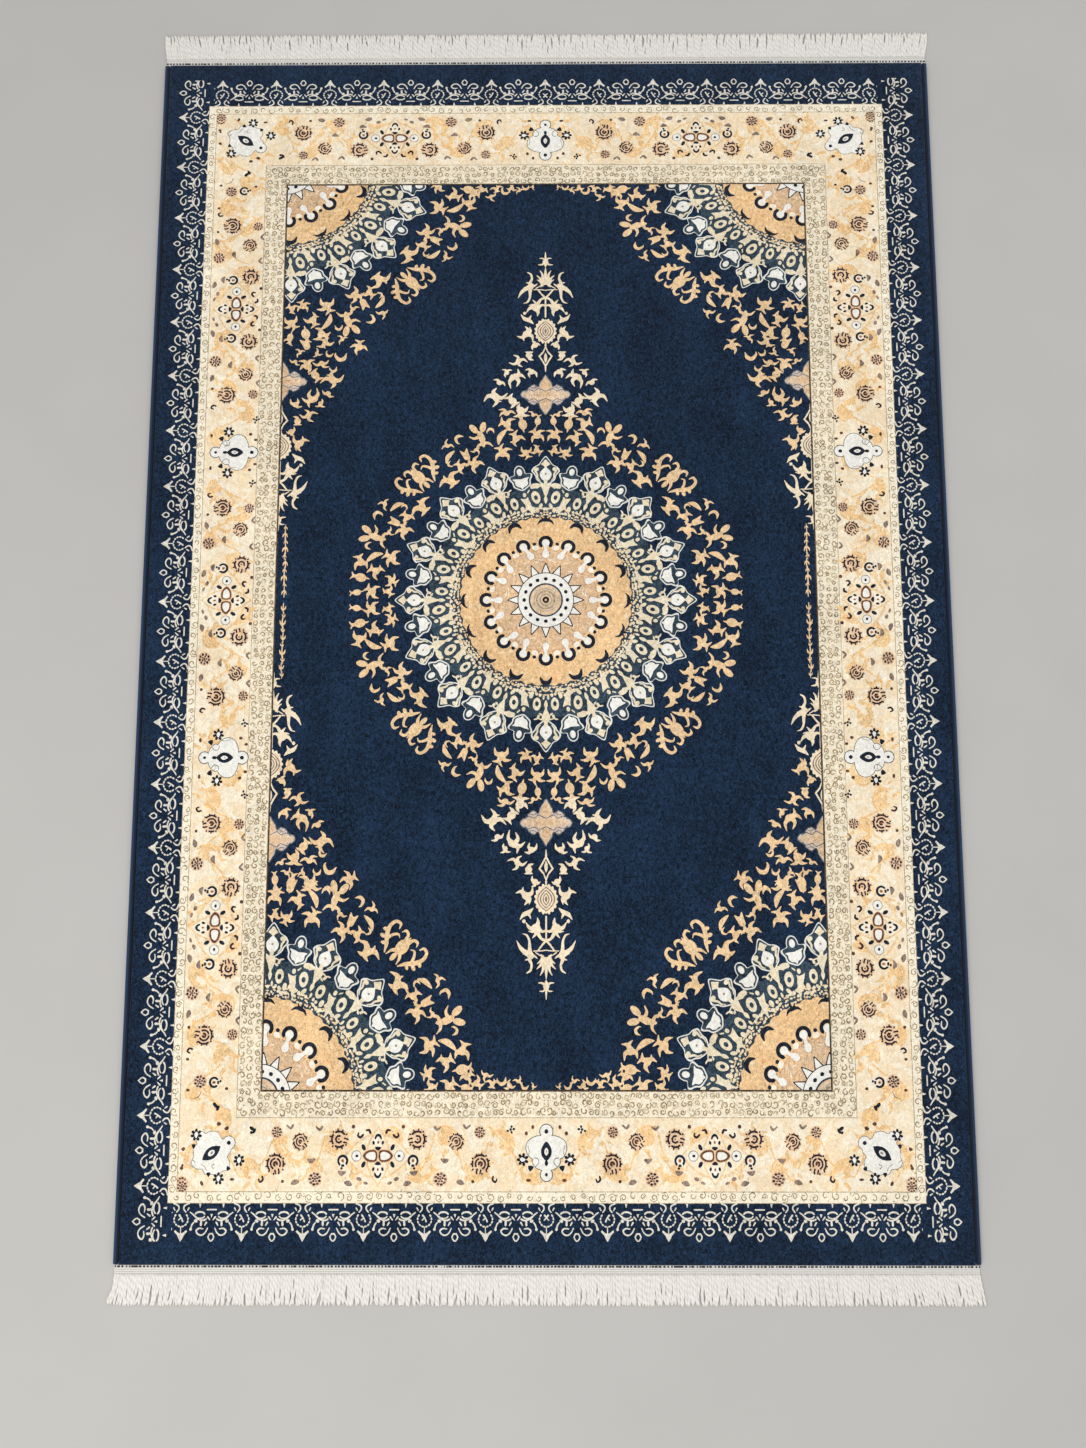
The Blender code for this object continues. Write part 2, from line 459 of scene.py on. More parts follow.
# Narrower flower between two palmettes: an edge, its squeezed copy, a cup and a bud.
def starFlower():
    edge = loop([(0, 212.6), (1.5, 210), (2.3, 204), (2.6, 199), (4.9, 197.6), (5.3, 193.5), (4.3, 187),
                 (4.1, 180), (2.2, 175), (0.2, 172), (-2.0, 175), (-4.1, 180), (-4.3, 187), (-5.3, 193.5),
                 (-5.0, 197.6), (-2.6, 199), (-2.3, 204), (-1.5, 210)], 3)
    cup = loop([(3.8, 192.6), (3.0, 189), (2.9, 183), (1.9, 179), (0.9, 178), (0.1, 174.6), (-0.8, 177.5),
                (-1.9, 178.5), (-3.0, 182.5), (-2.9, 188), (-3.7, 192), (-1.8, 191.6), (0, 190.6),
                (1.8, 191.8)], 3)
    return [
        ("outline", edge),
        ("slate", squeezed(edge, 0, 194, 0.86, 1.9)),
        ("white", [cup, oval(0, 201.8, 1.15, 5.6, 0, 12)]),
    ]


# The net between: trunks, eyes, small rings and pebbles, for one star flower with half a gap on each side.
def netCell():
    column = loop([(-0.2, 159), (2.4, 161), (4.4, 168), (4.3, 175), (2.6, 171.5), (1.4, 167), (2.4, 163),
                   (1.9, 157), (0.4, 148), (1.0, 143), (-1.2, 140), (-2.2, 135), (-3.6, 130.5), (-3.4, 137),
                   (-5.2, 143), (-3.2, 145.5), (-2.6, 152), (-2.8, 158), (-1.6, 161)], 3)
    sash = [ribbon([(-9.6, 179), (-7.0, 177), (-4.6, 172), (-2.2, 167.5)], (3.6, 4.4, 3.6, 1.6), 3),
            ribbon([(-6.8, 180.5), (-5.2, 179.5), (-4.3, 176)], (2.4, 1.6), 3)]
    squares = [ribbon([(9.7, 177.5), (7.4, 175.6), (6.0, 177.6)], (1.5, 1.5), 2),
               ribbon([(7.4, 175), (7.8, 170.5)], (1.2, 1.2), 1),
               ribbon([(9.2, 171), (8.2, 168)], (0.9, 1.4), 1)]
    millimetres = 2.75            # in a degree, where the eyes are
    eyes = []
    for s, r, lean, wide, tall in ((6.35, 154.8, 0, 2.2, 9.6), (-5.95, 159, -26, 2.35, 10.2)):
        for tone, a, b, count, drop in (("slate", wide + 1.75, tall + 4.6, 16, 0),
                                        ("cream", wide, tall, 14, 0), ("slate", 1.05, 3.9, 10, 0.4)):
            ring = oval(0, 0, a * millimetres, b, lean * 0.5, count) * (1 / millimetres, 1)
            eyes.append((tone, ring + (s, r - drop)))
    pebbles = [oval(s, r, wide, tall, turn, count) for s, r, wide, tall, turn, count in (
        (2.6, 142.8, 1.25, 5.2, 0, 10), (9.9, 144.5, 0.65, 3.8, 0, 8), (-8.2, 144.6, 1.1, 4.8, 8, 10),
        (5.7, 140.4, 0.9, 2.4, 0, 8), (7.7, 141.6, 0.8, 2.6, 0, 8), (-6.0, 140.5, 1.0, 3.0, 0, 8),
        (-10.4, 140.0, 0.9, 2.6, 0, 8), (1.1, 135.5, 1.0, 2.6, 0, 8), (4.0, 134.0, 1.1, 2.4, 0, 8))]
    return [("cream", [column, *sash, *squares]), *eyes, ("cream", pebbles),
            ("slate", oval(-3.7, 172.3, 0.7, 2.1, 0, 8)),
            ("slate", oval(-0.2, 165, 1.75, 6.2, 0, 14)), ("cream", oval(-0.2, 165, 0.95, 3.5, 0, 10))]


# Rows of small cells that leave a net of dark threads just outside the peach ground, over a sixteenth.
def netCells(seeds):
    cells = []
    for row, (radius, count, reach) in enumerate(((130.6, 13, 1.7), (135.2, 11, 2.0), (140.0, 9, 1.6))):
        for k in range(count):
            s = -11.25 + 22.5 * (k + 0.5 * (row % 2) + seeds.uniform(-0.1, 0.6)) / count
            cells.append(oval(s, radius + seeds.uniform(-1.6, 1.6), seeds.uniform(0.3, 0.7) * 20 / count,
                              reach * seeds.uniform(0.6, 1.3), seeds.uniform(-20, 20), 6))
    return [("sand", cells[::2]), ("cream", cells[1::2])]


# A ring with a stem that points inwards.
def club():                       # in millimetres, outward is up, from the ring's own radius 87
    stem = loop([(-3.4, 1.6), (-2.4, -6), (-2.3, -10.5), (-4.6, -15), (-5.0, -20), (-2.0, -23.5), (2.4, -23),
                 (4.8, -19), (3.6, -14), (2.3, -10), (2.4, -5), (3.4, 1.6)], 3)
    return [
        ("rustLight", grown(stem, 1.2)), ("white", stem),
        ("ink", arc(0, 0, 8.4, -38, 218, 5.3, 15)), ("white", oval(0, -0.4, 5.6, 5.4, 0, 14)),
    ]


# Pale blob with a dark dot, between two clubs.
def clubDot():
    return [("pale", loop([(0, -2), (4.4, -3.5), (4.8, -8), (0.6, -9.4), (-4.2, -7.5), (-4.0, -3.4)], 3)),
            ("rustLight", [ribbon([(-5.4, -6), (-1, -11.4), (5.6, -9)], (1.2, 1.0), 3)]),
            ("ink", oval(0, 0.4, 2.9, 2.6, 0, 10))]


# Dark crescent for kind 0, and a small spray of horns for kind 1.
def hookArc(kind):
    crescent = ribbon([(-9.6, -5.5), (-6, 1), (0, 3), (6, 1), (9.6, -5.5)], (2.4, 6.2, 7.2, 6.2, 2.4), 3)
    if kind == 0:
        return [("ink", crescent)]
    return [("ink", [horn(0, 2, -11, -5, 5.5, -0.16), horn(0, 2, 11, -3, 5.5, 0.16), horn(0, 1, 1, 9, 5, 0),
                     horn(0, 2, -6, 7, 4, 0.1)])]


# Pointed petal, white inside its dark edge.
def petal():
    shape = loop([(-6.2, -1.5), (-5.2, 4), (-2.6, 11), (0, 15.6), (2.6, 11), (5.2, 4), (6.2, -1.5)], 3)
    inside = loop([(-4.4, -1.5), (-3.6, 4), (-1.4, 10), (0, 12.8), (1.4, 10), (3.6, 4), (4.4, -1.5)], 3)
    return [("ink", shape), ("white", inside)]


# Whole rings are polygons of radius mean plus swing times a wave, in the same polar terms.
def ringLine(mean, swing=0.0, waves=16, phase=0.0, power=1.0, count=288):
    s = np.linspace(0, 360, count, endpoint=False)
    wave = np.abs(np.cos(np.radians(waves * (s - phase) / 2))) ** power
    return np.stack([s, mean + swing * wave], 1)


# From the outside inwards: net and flowers, flecked ground with hooks, a veined ring, clubs, petals
# and the plain rings of the middle.
def medallion(x, y, size=1.0, turn=0.0):
    whole = wrapped(x, y, turn, size)
    seeds = np.random.default_rng(5)
    axes = [turn + 22.5 * k for k in range(16)]
    sixteenth = [wrapped(x, y, a, size) for a in axes]
    between = [wrapped(x, y, a + 11.25, size) for a in axes]

    def seat(angle, radius):      # a flat place on the ring, outward up
        dx, dy = polar(size * radius, radians(angle))
        return spot(x + dx, y + dy, angle - 90, size)

    paint("slate", whole(ringLine(171, 7, 32, 0, 0.7)))
    for mapping in between:
        lay(starFlower(), mapping)
    for mapping in sixteenth:
        lay(netCells(seeds), mapping)
    for mapping in between:
        lay(netCell(), mapping)
    for mapping in sixteenth:
        lay(palmette(), mapping)
    paint("peach", whole(ringLine(124.6, 3.4, 48, 2, 0.8)))
    for k in range(112):          # light and dark flecks of the peach ground
        a, r = seeds.uniform(0, 360), seeds.uniform(84, 122)
        fleck = oval(a, r, seeds.uniform(90, 200) / r, seeds.uniform(1.4, 3.2), 0, 8)
        paint(("peachLight", "peachLight", "peachDark")[k % 3], whole(fleck))
    for k, angle in enumerate(axes):
        lay(hookArc((0, 0, 1, 0, 1)[(k * 3) % 5]), seat(angle + 0.6, 121))
    paint("rustLight", whole(ringLine(75.4, 2.6, 32, 5, 0.6)))
    paint("sandDark", whole(ringLine(74.2, 2.6, 32, 5, 0.6)))
    for k in range(70):           # veins of the darker ring
        a, r = seeds.uniform(0, 360), seeds.uniform(52, 72)
        route = [(a - 150 / r, r + seeds.uniform(-3, 3)), (a, r), (a + 170 / r, r + seeds.uniform(-3, 3))]
        paint(("rustLight", "sand", "pale")[k % 3], whole(ribbon(route, (0.8, 1.5, 0.8), 2)))
    for k, angle in enumerate(axes):
        lay(clubDot(), seat(angle + 11.25, 86.5))
        lean = (0, 16, -14, 8)[k % 4]
        leaning = [(tone, placed(shape, 0, 0, 0 if tone == "ink" else lean)) for tone, shape in club()]
        lay(leaning, seat(angle, 87.5))
    for angle in axes:
        lay(petal(), seat(angle, 41.5))
    paint("ink", whole(ringLine(41.8, count=120)))
    paint("white", whole(ringLine(40.6, count=120)))
    for angle in axes:
        lay([("ink", oval(0, 0, 3.0, 2.7, 0, 10))], seat(angle, 32.0))
    paint("slate", whole(ringLine(25.4, count=90)))
    for radius, tone in ((23.0, "blush"), (21.2, "sand"), (20.2, "blush"), (18.0, "taupe"), (15.6, "blush"),
                         (14.4, "haze"), (12.6, "taupe"), (10.8, "blush"), (9.2, "haze"), (7.6, "blush")):
        paint(tone, whole(ringLine(radius, count=60)))
    paint("ink", oval(x, y, 5.0, 5.4, 45, 8))
    paint("sand", oval(x, y, 1.9, 1.9, 0, 8))


# pendants between the medallions, x across and y away from the medallion's middle

# Flower, diamond, egg of nested almonds and crown, in this order away from the medallion.
def pendant():
    quatre = loop(mirrored([(0, 33), (4, 27), (9, 20), (11, 13), (17, 17), (25, 13), (28, 8), (35, 6),
                            (38, 0), (34, -5), (28, -8), (26, -12), (18, -17), (11, -13), (9, -20), (4, -28),
                            (0, -33)]), 2) + (0, 323)
    lobe = loop(mirrored([(0, 29), (6, 21), (8.5, 13), (5, 9), (0, 7)]), 3)
    diamond = np.array(mirrored([(0, 19), (4, 9), (11, 1), (5, -9), (0, -18)]))
    shapes = [
        ("slateLine", grown(quatre, 0.6)), ("lilac", grown(quatre, -0.9)),
        ("blush", loop([(-35, 323), (-27, 328), (-12, 332), (0, 329), (12, 332), (27, 328), (35, 323),
                        (27, 318), (12, 314), (0, 317), (-12, 314), (-27, 318)], 2)),
        ("sandDark", [lobe + (0, 323), lobe * (1, -1) + (0, 323), oval(0, 323, 15, 5, 0, 12)]),
        ("slateLine", [ribbon([(-11, 334), (-5, 331), (0, 329), (5, 331), (11, 334)], (1.1, 1.1), 2),
                  ribbon([(-11, 312), (-5, 315), (0, 317), (5, 315), (11, 312)], (1.1, 1.1), 2),
                  *both(ribbon([(11, 334), (17, 329), (25, 332), (31, 328)], (1.1, 1.1), 2),
                        ribbon([(11, 312), (17, 317), (25, 314), (31, 318)], (1.1, 1.1), 2),
                        ribbon([(13, 337), (18, 334), (23, 335)], (0.9, 0.9), 2),
                        ribbon([(13, 309), (18, 312), (23, 311)], (0.9, 0.9), 2))]),
        ("leafPale", diamond + (0, 386)), ("navy", diamond * 0.72 + (0, 386)),
        ("leafPale", [almond(0, 384, 17, 5, 90), horn(0, 404, 0, 412, 3, 0), horn(0, 369, 0, 361, 3, 0)]),
    ]
    shapes.append(("leafPale", scallop(0, 0, 21.5, 17, 0.16, 0, 5) * (0.8, 1) + (0, 428.6)))
    for length, width, tone in ((34, 26, "bit"), (30.6, 22.4, "leafPale"), (26, 18, "bit"),
                                (22.6, 14.4, "leafPale"), (17.6, 10, "bit"), (14, 6.8, "leafPale"),
                                (9, 3.6, "bit")):
        shapes.append((tone, almond(0, 428.6, length, width, 90, 9)))
    crown = [
        ribbon([(27.5, 528), (22.4, 524.5), (20.8, 517), (23.6, 510), (22, 502)], (1.6, 3.2, 3.2, 5, 9), 3),
        ribbon([(21, 505), (28.6, 501), (36.4, 494.6), (42, 484.6)], (8, 7, 5, 0.8), 3),
        ribbon([(23, 503), (23.6, 494), (24, 485), (27.6, 477.6), (33.4, 475.4)], (7, 4.6, 3.2, 2.8, 0.8), 3),
        horn(20, 506, 29.6, 510.6, 5, 0.1), horn(22, 504, 12.6, 508.4, 4.6, 0.1),
        horn(26, 499, 33, 502.6, 4, 0.1),
        ribbon([(-0.4, 508.4), (7, 505.4), (15, 500.6)], (1.5, 1.5), 2),
        ribbon([(-0.4, 497.4), (7, 498.4), (18, 498.6)], (1.5, 1.6), 2),
        ribbon([(11.4, 498), (5.6, 490.4), (-0.4, 484.4)], (2.2, 3.0), 2),
        ribbon([(-0.4, 485), (7, 482), (12.6, 473.4)], (4, 3.4, 6), 3),
        ribbon([(-0.4, 470.6), (4.6, 472.6), (10, 470)], (2.8, 3.4, 6), 2),
        oval(14.4, 467.6, 6.6, 5.8), horn(14, 468, 19.4, 481, 6, 0.15), horn(15, 469, 29, 460, 7, 0.2),
        horn(14, 466, 12.4, 454, 7, -0.15), horn(14, 470, 25, 472, 5, 0.15),
        ribbon([(0, 486), (0, 452)], (2.4, 2.4), 1),
        ribbon([(18.6, 441), (25, 446.6), (32, 449.4), (37.4, 456.4)], (1.4, 6.6, 6, 0.9), 3),
        oval(31.8, 458.6, 2.5, 2.7, 0, 8),
        horn(28, 447, 22, 455, 5, 0.1),
        horn(5, 507, 12.6, 515.4, 4.4, 0.1), horn(6, 512, 13.4, 522.6, 4.4, 0.1),
        horn(4, 518, 8.4, 531, 4.4, 0.1),
        horn(4, 506, 7.4, 503, 3.4, 0.1),
        horn(1, 545, 11, 541, 4, -0.15), horn(1, 549, 9, 552, 3, 0.2),
    ]
    shapes += [
        ("leafPale", both(*crown)),
        ("leafPale", [oval(0, 514, 8.2, 9.2), horn(0, 520, 0, 536, 5, 0), horn(0, 540, 0, 563, 4.5, 0),
                      horn(0, 546, 0, 537, 5, 0), oval(0, 546, 4.5, 4)]),
        ("navy", [oval(0, 505.4, 3.4, 1.6, 0, 8), *both(oval(5.0, 477.6, 1.9, 2.4, 0, 8))]),
    ]
    return shapes


# Leaves beside a pendant, on its left: middle, body, tips, tone.
pendantLeaves = [
    ((-29, 424), 5.5, [(-31, 437), (-44, 420), (-33, 412), (-19, 411), (-24, 436)], "leafPale"),
    ((-16, 405), 4.5, [(-21, 412), (-8, 405), (-20, 397)], "leafPale"),
    ((-25, 388), 5.0, [(-31, 394), (-19, 394), (-18, 380)], "leafPale"),
    ((-41, 379), 4.2, [(-49, 389), (-56, 376), (-35, 369), (-27, 377)], "leafPale"),
    ((-21, 361), 4.5, [(-31, 364), (-13, 352), (-24, 351)], "leafPale"),
    ((-46, 353), 5.5, [(-42, 366), (-30, 350), (-53, 333), (-44, 336), (-55, 350)], "leafPale"),
    ((-59, 359), 3.6, [(-66, 365), (-51, 364), (-61, 352)], "leafPale"),
    ((-70, 343), 4.2, [(-79, 348), (-61, 338)], "leafPale"),
    ((-77, 321), 6.0, [(-94, 312), (-80, 303), (-67, 312), (-74, 335), (-57, 326)], "leafPale"),
    ((-50, 313), 6.0, [(-63, 317), (-50, 326), (-39, 311), (-53, 301)], "leafPale"),
    ((-38, 298), 6.0, [(-26, 304), (-49, 287), (-24, 289), (-39, 309)], "leafPale"),
    ((-59, 293), 4.2, [(-71, 299), (-45, 292), (-70, 288)], "leafPale"),
    ((-19, 290), 3.0, [(-26, 296), (-10, 287)], "leafPale"),
]


# Leaves of a pendant with their mirror images, and then its middle.
def hangPendant(mapping, warm=False):
    for (x, y), body, tips, tone in pendantLeaves:
        motif = spiky(body, tips, body * 1.35, "leaf" if warm or y < 296 else tone, x, y)
        lay(motif, mapping)
        lay(motif, lambda shape: mapping(shape * (-1, 1)))
    lay(pendant(), mapping)


# main border, t along the strip and c across it towards the field

# Discs of nested arcs that open to one side, two deep for kind 0 and three deep for kind 1, with two short
# bars in the opening and teeth round the rim.
def rosette(radius, kind=0):
    rim = np.radians(np.arange(0, 360, 33) + 7)
    teeth = [ribbon([polar(radius * 0.95, a), polar(radius * 1.1, a)], (radius * 0.2, radius * 0.1), 1)
             for a in rim]
    arcs = (((0.36, -150, 100), (0.8, -140, -70), (0.8, -44, 26), (0.8, 52, 130)),
            ((0.2, -150, 130), (0.53, -136, 8), (0.53, 36, 132), (0.87, -118, -40), (0.87, -14, 60),
             (0.87, 86, 122)))[kind]
    width = radius * (0.23, 0.2)[kind]
    strokes = [arc(0, 0, radius * share, start, stop, width, 6) for share, start, stop in arcs]
    bar = ribbon([(-radius * 0.95, 0), (-radius * 0.58, 0)], (radius * 0.16, radius * 0.2), 1)
    strokes += [bar + (0, c * radius) for c in (-0.2, 0.2)]
    return [("pinkish", scallop(0, 0, radius * 1.12, 12, 0.05, 0, 3)), ("umber", teeth + strokes),
            ("rust", oval(0, 0, radius * 0.12, None, 0, 6))]


# Disc with a ring of nine spots, a ring of five and one in the middle.
def smallRosette(radius):
    spots = []
    for share, size, step, start in ((0.76, 0.25, 40, 0), (0.36, 0.19, 72, 20)):
        spots += [oval(*polar(radius * share, a), radius * size, radius * size * 0.8, 0, 7)
                  for a in np.radians(np.arange(start, start + 359, step))]
    return [("pinkish", oval(0, 0, radius * 1.14, None, 0, 14)),
            ("mauve", spots[::2] + [oval(0, 0, radius * 0.2, None, 0, 6)]), ("umber", spots[1::2])]


# Dark disc with a pale middle, and two short strokes and a dot below it.
def ringFlower():
    return [("ink", oval(0, 0, 7.8, 7.8, 0, 20)), ("pale", oval(0.2, -0.2, 4.7, 4.5, 0, 14)),
            ("rustLight", oval(0, 0.2, 2.4, 2.9, 0, 8)), ("rust", oval(0, 0, 1.6, 1.9, 0, 8)),
            ("pale", ribbon([(-2.6, -4.0), (-4.2, -8.0)], (2.0, 2.2), 1)),
            ("pale", ribbon([(2.4, -4.4), (3.6, -8.0)], (1.2, 1.4), 1)),
            ("ink", oval(1.6, -9.6, 1.9, 1.7, 0, 8))]


# Ring of oval petals round a dark disc with a white spot.
def budFlower(radius=8.6, petals=7):
    ring = [oval(*polar(radius * 0.68, a), radius * 0.34, radius * 0.25, np.degrees(a), 10)
            for a in np.radians(np.arange(0, 360, 360 / petals) + 12)]
    return [("ink", ring + [oval(0, 0, radius * 0.56, None, 0, 12)]),
            ("white", loop([(-1.8, 2.4), (-2.6, -1.5), (0.6, -4.0), (2.8, -1.0), (1.4, 2.2), (0.2, 4.0)], 2))]


# Almond grounds with a drop and a disc on both sides, and a bud above and below.
def crossMotif():
    drop = loop([(-20.8, 0), (-16, -5.6), (-9, -7.4), (-3.0, -6.4), (-1.2, 0), (-3.0, 6.4), (-9, 7.4),
                 (-16, 5.6)], 3)
    hollow = loop([(-17.2, 0), (-14, -3.6), (-8.6, -5.0), (-4.4, -4.2), (-3.2, 0), (-4.4, 4.2), (-8.6, 5.0),
                   (-14, 3.6)], 3)
    bud = [ribbon([(-4.2, 4.6), (-2.6, 8.0), (0, 9.2), (2.6, 8.0), (4.2, 4.6)], (2.4, 3.8, 2.4), 2),
           oval(-6.4, -0.6, 1.8, 2.7, 14, 8), oval(6.4, -0.6, 1.8, 2.7, -14, 8),
           loop([(-4.6, -6.6), (0, -5.4), (4.6, -6.6), (1.6, -10.0), (-1.6, -10.0)], 2)]
    buds = [shape + (0, 17.2) for shape in bud] + [shape * (1, -1) - (0, 17.2) for shape in bud]
    return [
        ("peachSoft", [almond(0, 0, 96, 60)]), ("ground", [almond(0, 0, 89, 53)]),
        ("sand", [almond(0, 0, 76, 36, 90), almond(0, 0, 40, 28, 90)]),
        ("ground", [almond(0, 0, 70, 30, 90)]), ("peachSoft", [almond(0, 0, 44, 16, 0, 9)]),
        ("pale", [oval(0, 17.2, 5.2, 7.6, 0, 12), oval(0, -17.2, 5.2, 7.6, 0, 12)]),
        ("line", both(oval(30, 0, 7.2, 7.2, 0, 18))), ("white", both(oval(30, 0, 6.1, 6.1, 0, 16))),
        ("ink", both(oval(29.4, 0, 2.3, 1.9, 0, 8))),
        ("rustLight", both(grown(drop, 1.0))), ("brown", both(drop)), ("rust", both(grown(hollow, 0.7))),
        ("white", both(hollow)), ("ink", buds),
        ("rust", [oval(0, -17.2, 1.5, 2.1, 0, 8), oval(0, 17.2, 1.5, 2.1, 0, 8)]),
        ("ink", both(oval(20.2, 10.8, 2.7, 4.5, -30, 10), oval(20.2, -10.8, 2.7, 4.5, 30, 10))),
    ]


# What lies on one side of a cross, from it towards the next cartouche.
def borderRun():
    kite = loop([(-6, -2), (0, -2.6), (6, -2.4), (1, 3.4), (-3.4, 2.6)], 3)
    pod = loop([(-5.6, -1), (0, -3.4), (6.4, -1), (1.6, 3.4), (-3.4, 2.6)], 3)
    wing = ribbon([(-4.4, 2), (-1, -2), (4.4, 1.8)], (3.4, 3.6, 2.2), 3)
    comma = ribbon([(-3.4, 2), (-1, -2.4), (3, -1.6), (3.4, 2)], (3, 3.4, 2), 3)
    tick = ribbon([(-3.4, -1), (0, 1.2), (3.4, -1.0)], (3.4, 3.6, 2.4), 3)
    hook = ribbon([(-2, 3.4), (-3, -1), (1, -3.8), (3, 0)], (2.6, 3, 2), 3)
    flowers = [(ringFlower(), 49, -6, 0), (rosette(12.4), 55, 21, 10), (rosette(10.4, 1), 109, 18, 40),
               (rosette(12.8, 1), 143, -10, 75), (smallRosette(9), 87.5, -29, 0),
               (smallRosette(7.4), 142, 30, 20)]
    bits = [("umber", comma, 25, 26, 20), ("umber", tick, 13.5, 31.5, 30), ("umber", hook, 163, -29, 0),
            ("brown", oval(0, 0, 2.7, 2.7, 0, 8), 35, 37, 0),
            ("brown", oval(0, 0, 2.3, 2.3, 0, 8), 132.5, -32, 0), ("bit", pod, 115, -33, -12),
            ("bit", kite, 93, -6, 180), ("bit", kite, 50, -21.5, 190), ("bit", pod, 41, -34.5, 20),
            ("bit", oval(0, 0, 3.8, 2.6, 20, 9), 26, -29, 0),
            ("bit", oval(0, 0, 3.6, 1.9, 20, 9), 17, -34, 0), ("bit", wing, 83, 35, 0),
            ("bit", wing, 124, 37, 0)]
    return flowers + [([(tone, shape)], t, c, turn) for tone, shape, t, c, turn in bits]


# White body with a ring beyond both ends and a dark lens in its middle.
def cartouche():
    half = [(-23, 7), (-20, 14), (-14, 19), (-9.5, 18.4), (-7, 22.5), (-1, 27), (7, 28), (14, 24.4),
            (18.6, 16), (20, 8)]
    body = loop([(-24.6, 0), *half, (21.4, 0), *[(x, -y) for x, y in half[::-1]]], 3)
    lens = loop([(12.8, 0), (8.6, 4.4), (2, 7.4), (-5, 6.6), (-10, 2.8), (-12, 0), (-10, -2.8), (-5, -6.6),
                 (2, -7.4), (8.6, -4.4)], 3)
    return [                      # drawn with c outwards to the field as +x and t as y
        ("slateLine", [grown(body, 1.0), oval(25.5, 0, 10, 10, 0, 20), oval(-29, 0, 9.2, 9.2, 0, 20)]),
        ("white", [oval(25.5, 0, 8.7, 8.7, 0, 18), oval(-29, 0, 7.9, 7.9, 0, 18), body]),
        ("haze", [ribbon([(-16, 8), (-12, 13), (-14, 18)], (0.9, 0.9), 3),
                  ribbon([(-8, -26), (0, -24), (8, -26)], (0.9, 0.9), 3)]),
        ("ink", [oval(25.5, 0, 3.0, 2.8), oval(-29, 0, 2.3, 2.1), lens, oval(-14.6, 0, 3.6, 2.4)]),
        ("white", loop([(5, 0), (2, 2.2), (-2, 2.9), (-5.4, 0.4), (-2, -2.6), (2, -2.4)], 3)),
        ("line", oval(0.2, 0.2, 1.9, 0.9, 0, 8)),
        ("slateLine", [ribbon([(-19, 15), (-14, 10.5), (-9, 12), (-8, 17)], (0.9, 1.0), 3),
                       ribbon([(-19, -15), (-14, -10.5), (-9, -12), (-8, -17)], (0.9, 1.0), 3)]),
    ]


# A cartouche with a bud flower on both sides, wedges, dots and sprigs.
def cartoucheSet():
    dots = [(-36, 27, 2.1, 3.4), (-36, -25, 2.1, 3.4), (23, 29, 2.8, 2.4), (31, 20, 2.8, 2.2),
            (31, -19, 2.8, 2.2), (23, -28, 2.8, 2.4)]
    wedge = loop([(-4, -3), (0, 4.5), (4, -3)], 2)
    sprig = [oval(0, 0, 2.0), oval(4, 1.5, 2.2, 1.7, 20), oval(-4, 1.5, 2.2, 1.7, -20),
             oval(0.5, 5, 1.8, 2.2), oval(-2, -4.4, 1.6, 2.2)]
    flower = budFlower(8.4)
    out = cartouche()
    for side in (1, -1):
        out += moved(flower, spot(-10, side * 33))
    out += [("ink", [placed(wedge, -20.5, 21.5, 200), placed(wedge, -20.5, -21.5, -20)]),
            ("brown", [oval(a, b, c, d, 0, 8) for a, b, c, d in dots]),
            ("ink", [s * 0.9 + (31, 52) for s in sprig] + [s * 0.9 + (28, -50) for s in sprig])]
    return out


# The rounder cartouche of a corner, with three bud flowers and a small rosette.
def cornerCartouche():
    body = loop([(0, 26), (9, 27), (17, 22), (24, 20), (25, 10), (22, 4), (27, -3), (24, -14), (14, -18),
                 (8, -26), (-2, -27), (-9, -24), (-14, -27), (-22, -22), (-20, -12), (-25, -6), (-24, 4),
                 (-27, 12), (-21, 19), (-12, 20), (-8, 26)], 3)
    wedge = loop([(-4, -3), (0, 4.5), (4, -3)], 2)
    flower = budFlower(8.0, 7)
    out = [                        # x away from the corner along the end, y towards the rug's end
        ("line", [grown(body, 1.1), oval(24, -13, 9.6, 9.6, 0, 16)]),
        ("white", [body, oval(24, -13, 8.2, 8.2, 0, 16)]),
        ("ink", [oval(24, -13, 2.8, 2.8, 0, 10), almond(0, 0, 31, 15, -35)]),
        ("white", oval(0, 0, 5.2, 3.4, -35, 12)), ("line", oval(0.6, -0.4, 2.6, 1.6, -35, 8)),
        ("line", [ribbon([(-25, 18), (-29, 14), (-26, 9), (-22, 12)], (1.1, 1.1), 3),
                  ribbon([(-14, 14), (-9, 17), (-6, 22)], (1.1, 1.1), 3),
                  ribbon([(4, 20), (1, 16), (5, 14)], (1.1, 1.1), 3)]),
    ]
    for fx, fy in ((11, 32), (39, 9), (-22, -23)):
        out += moved(flower, spot(fx, fy))
    out += [("ink", [placed(wedge, -25, -8.5, 0, 0.75), placed(wedge, -3, 27, 0, 0.75),
                     placed(wedge, 24, 19, 150, 0.75)]),
            ("brown", [oval(-12, 38, 3.4, 2.2, 60, 8), oval(30, 33, 3.4, 1.8, 0, 8),
                       oval(-40, 16, 1.8, 2.6, 20, 8), oval(-39, -5, 1.9, 2.9, 20, 8),
                       oval(9, -37, 2.9, 2.6, 0, 8), oval(20, -31, 3.1, 2.2, 0, 8)]),
            ("ink", [oval(56, -31, 4.4, 2.4, 30, 8), oval(59, -28, 4, 2.2, -60, 8), oval(55, -26, 2.0),
                     oval(4, -60, 4.4, 2.4, 30, 8), oval(7, -57, 4, 2.2, -60, 8), oval(2, -62, 2.4)])]
    return out + moved(smallRosette(7.4), spot(-40, 37))


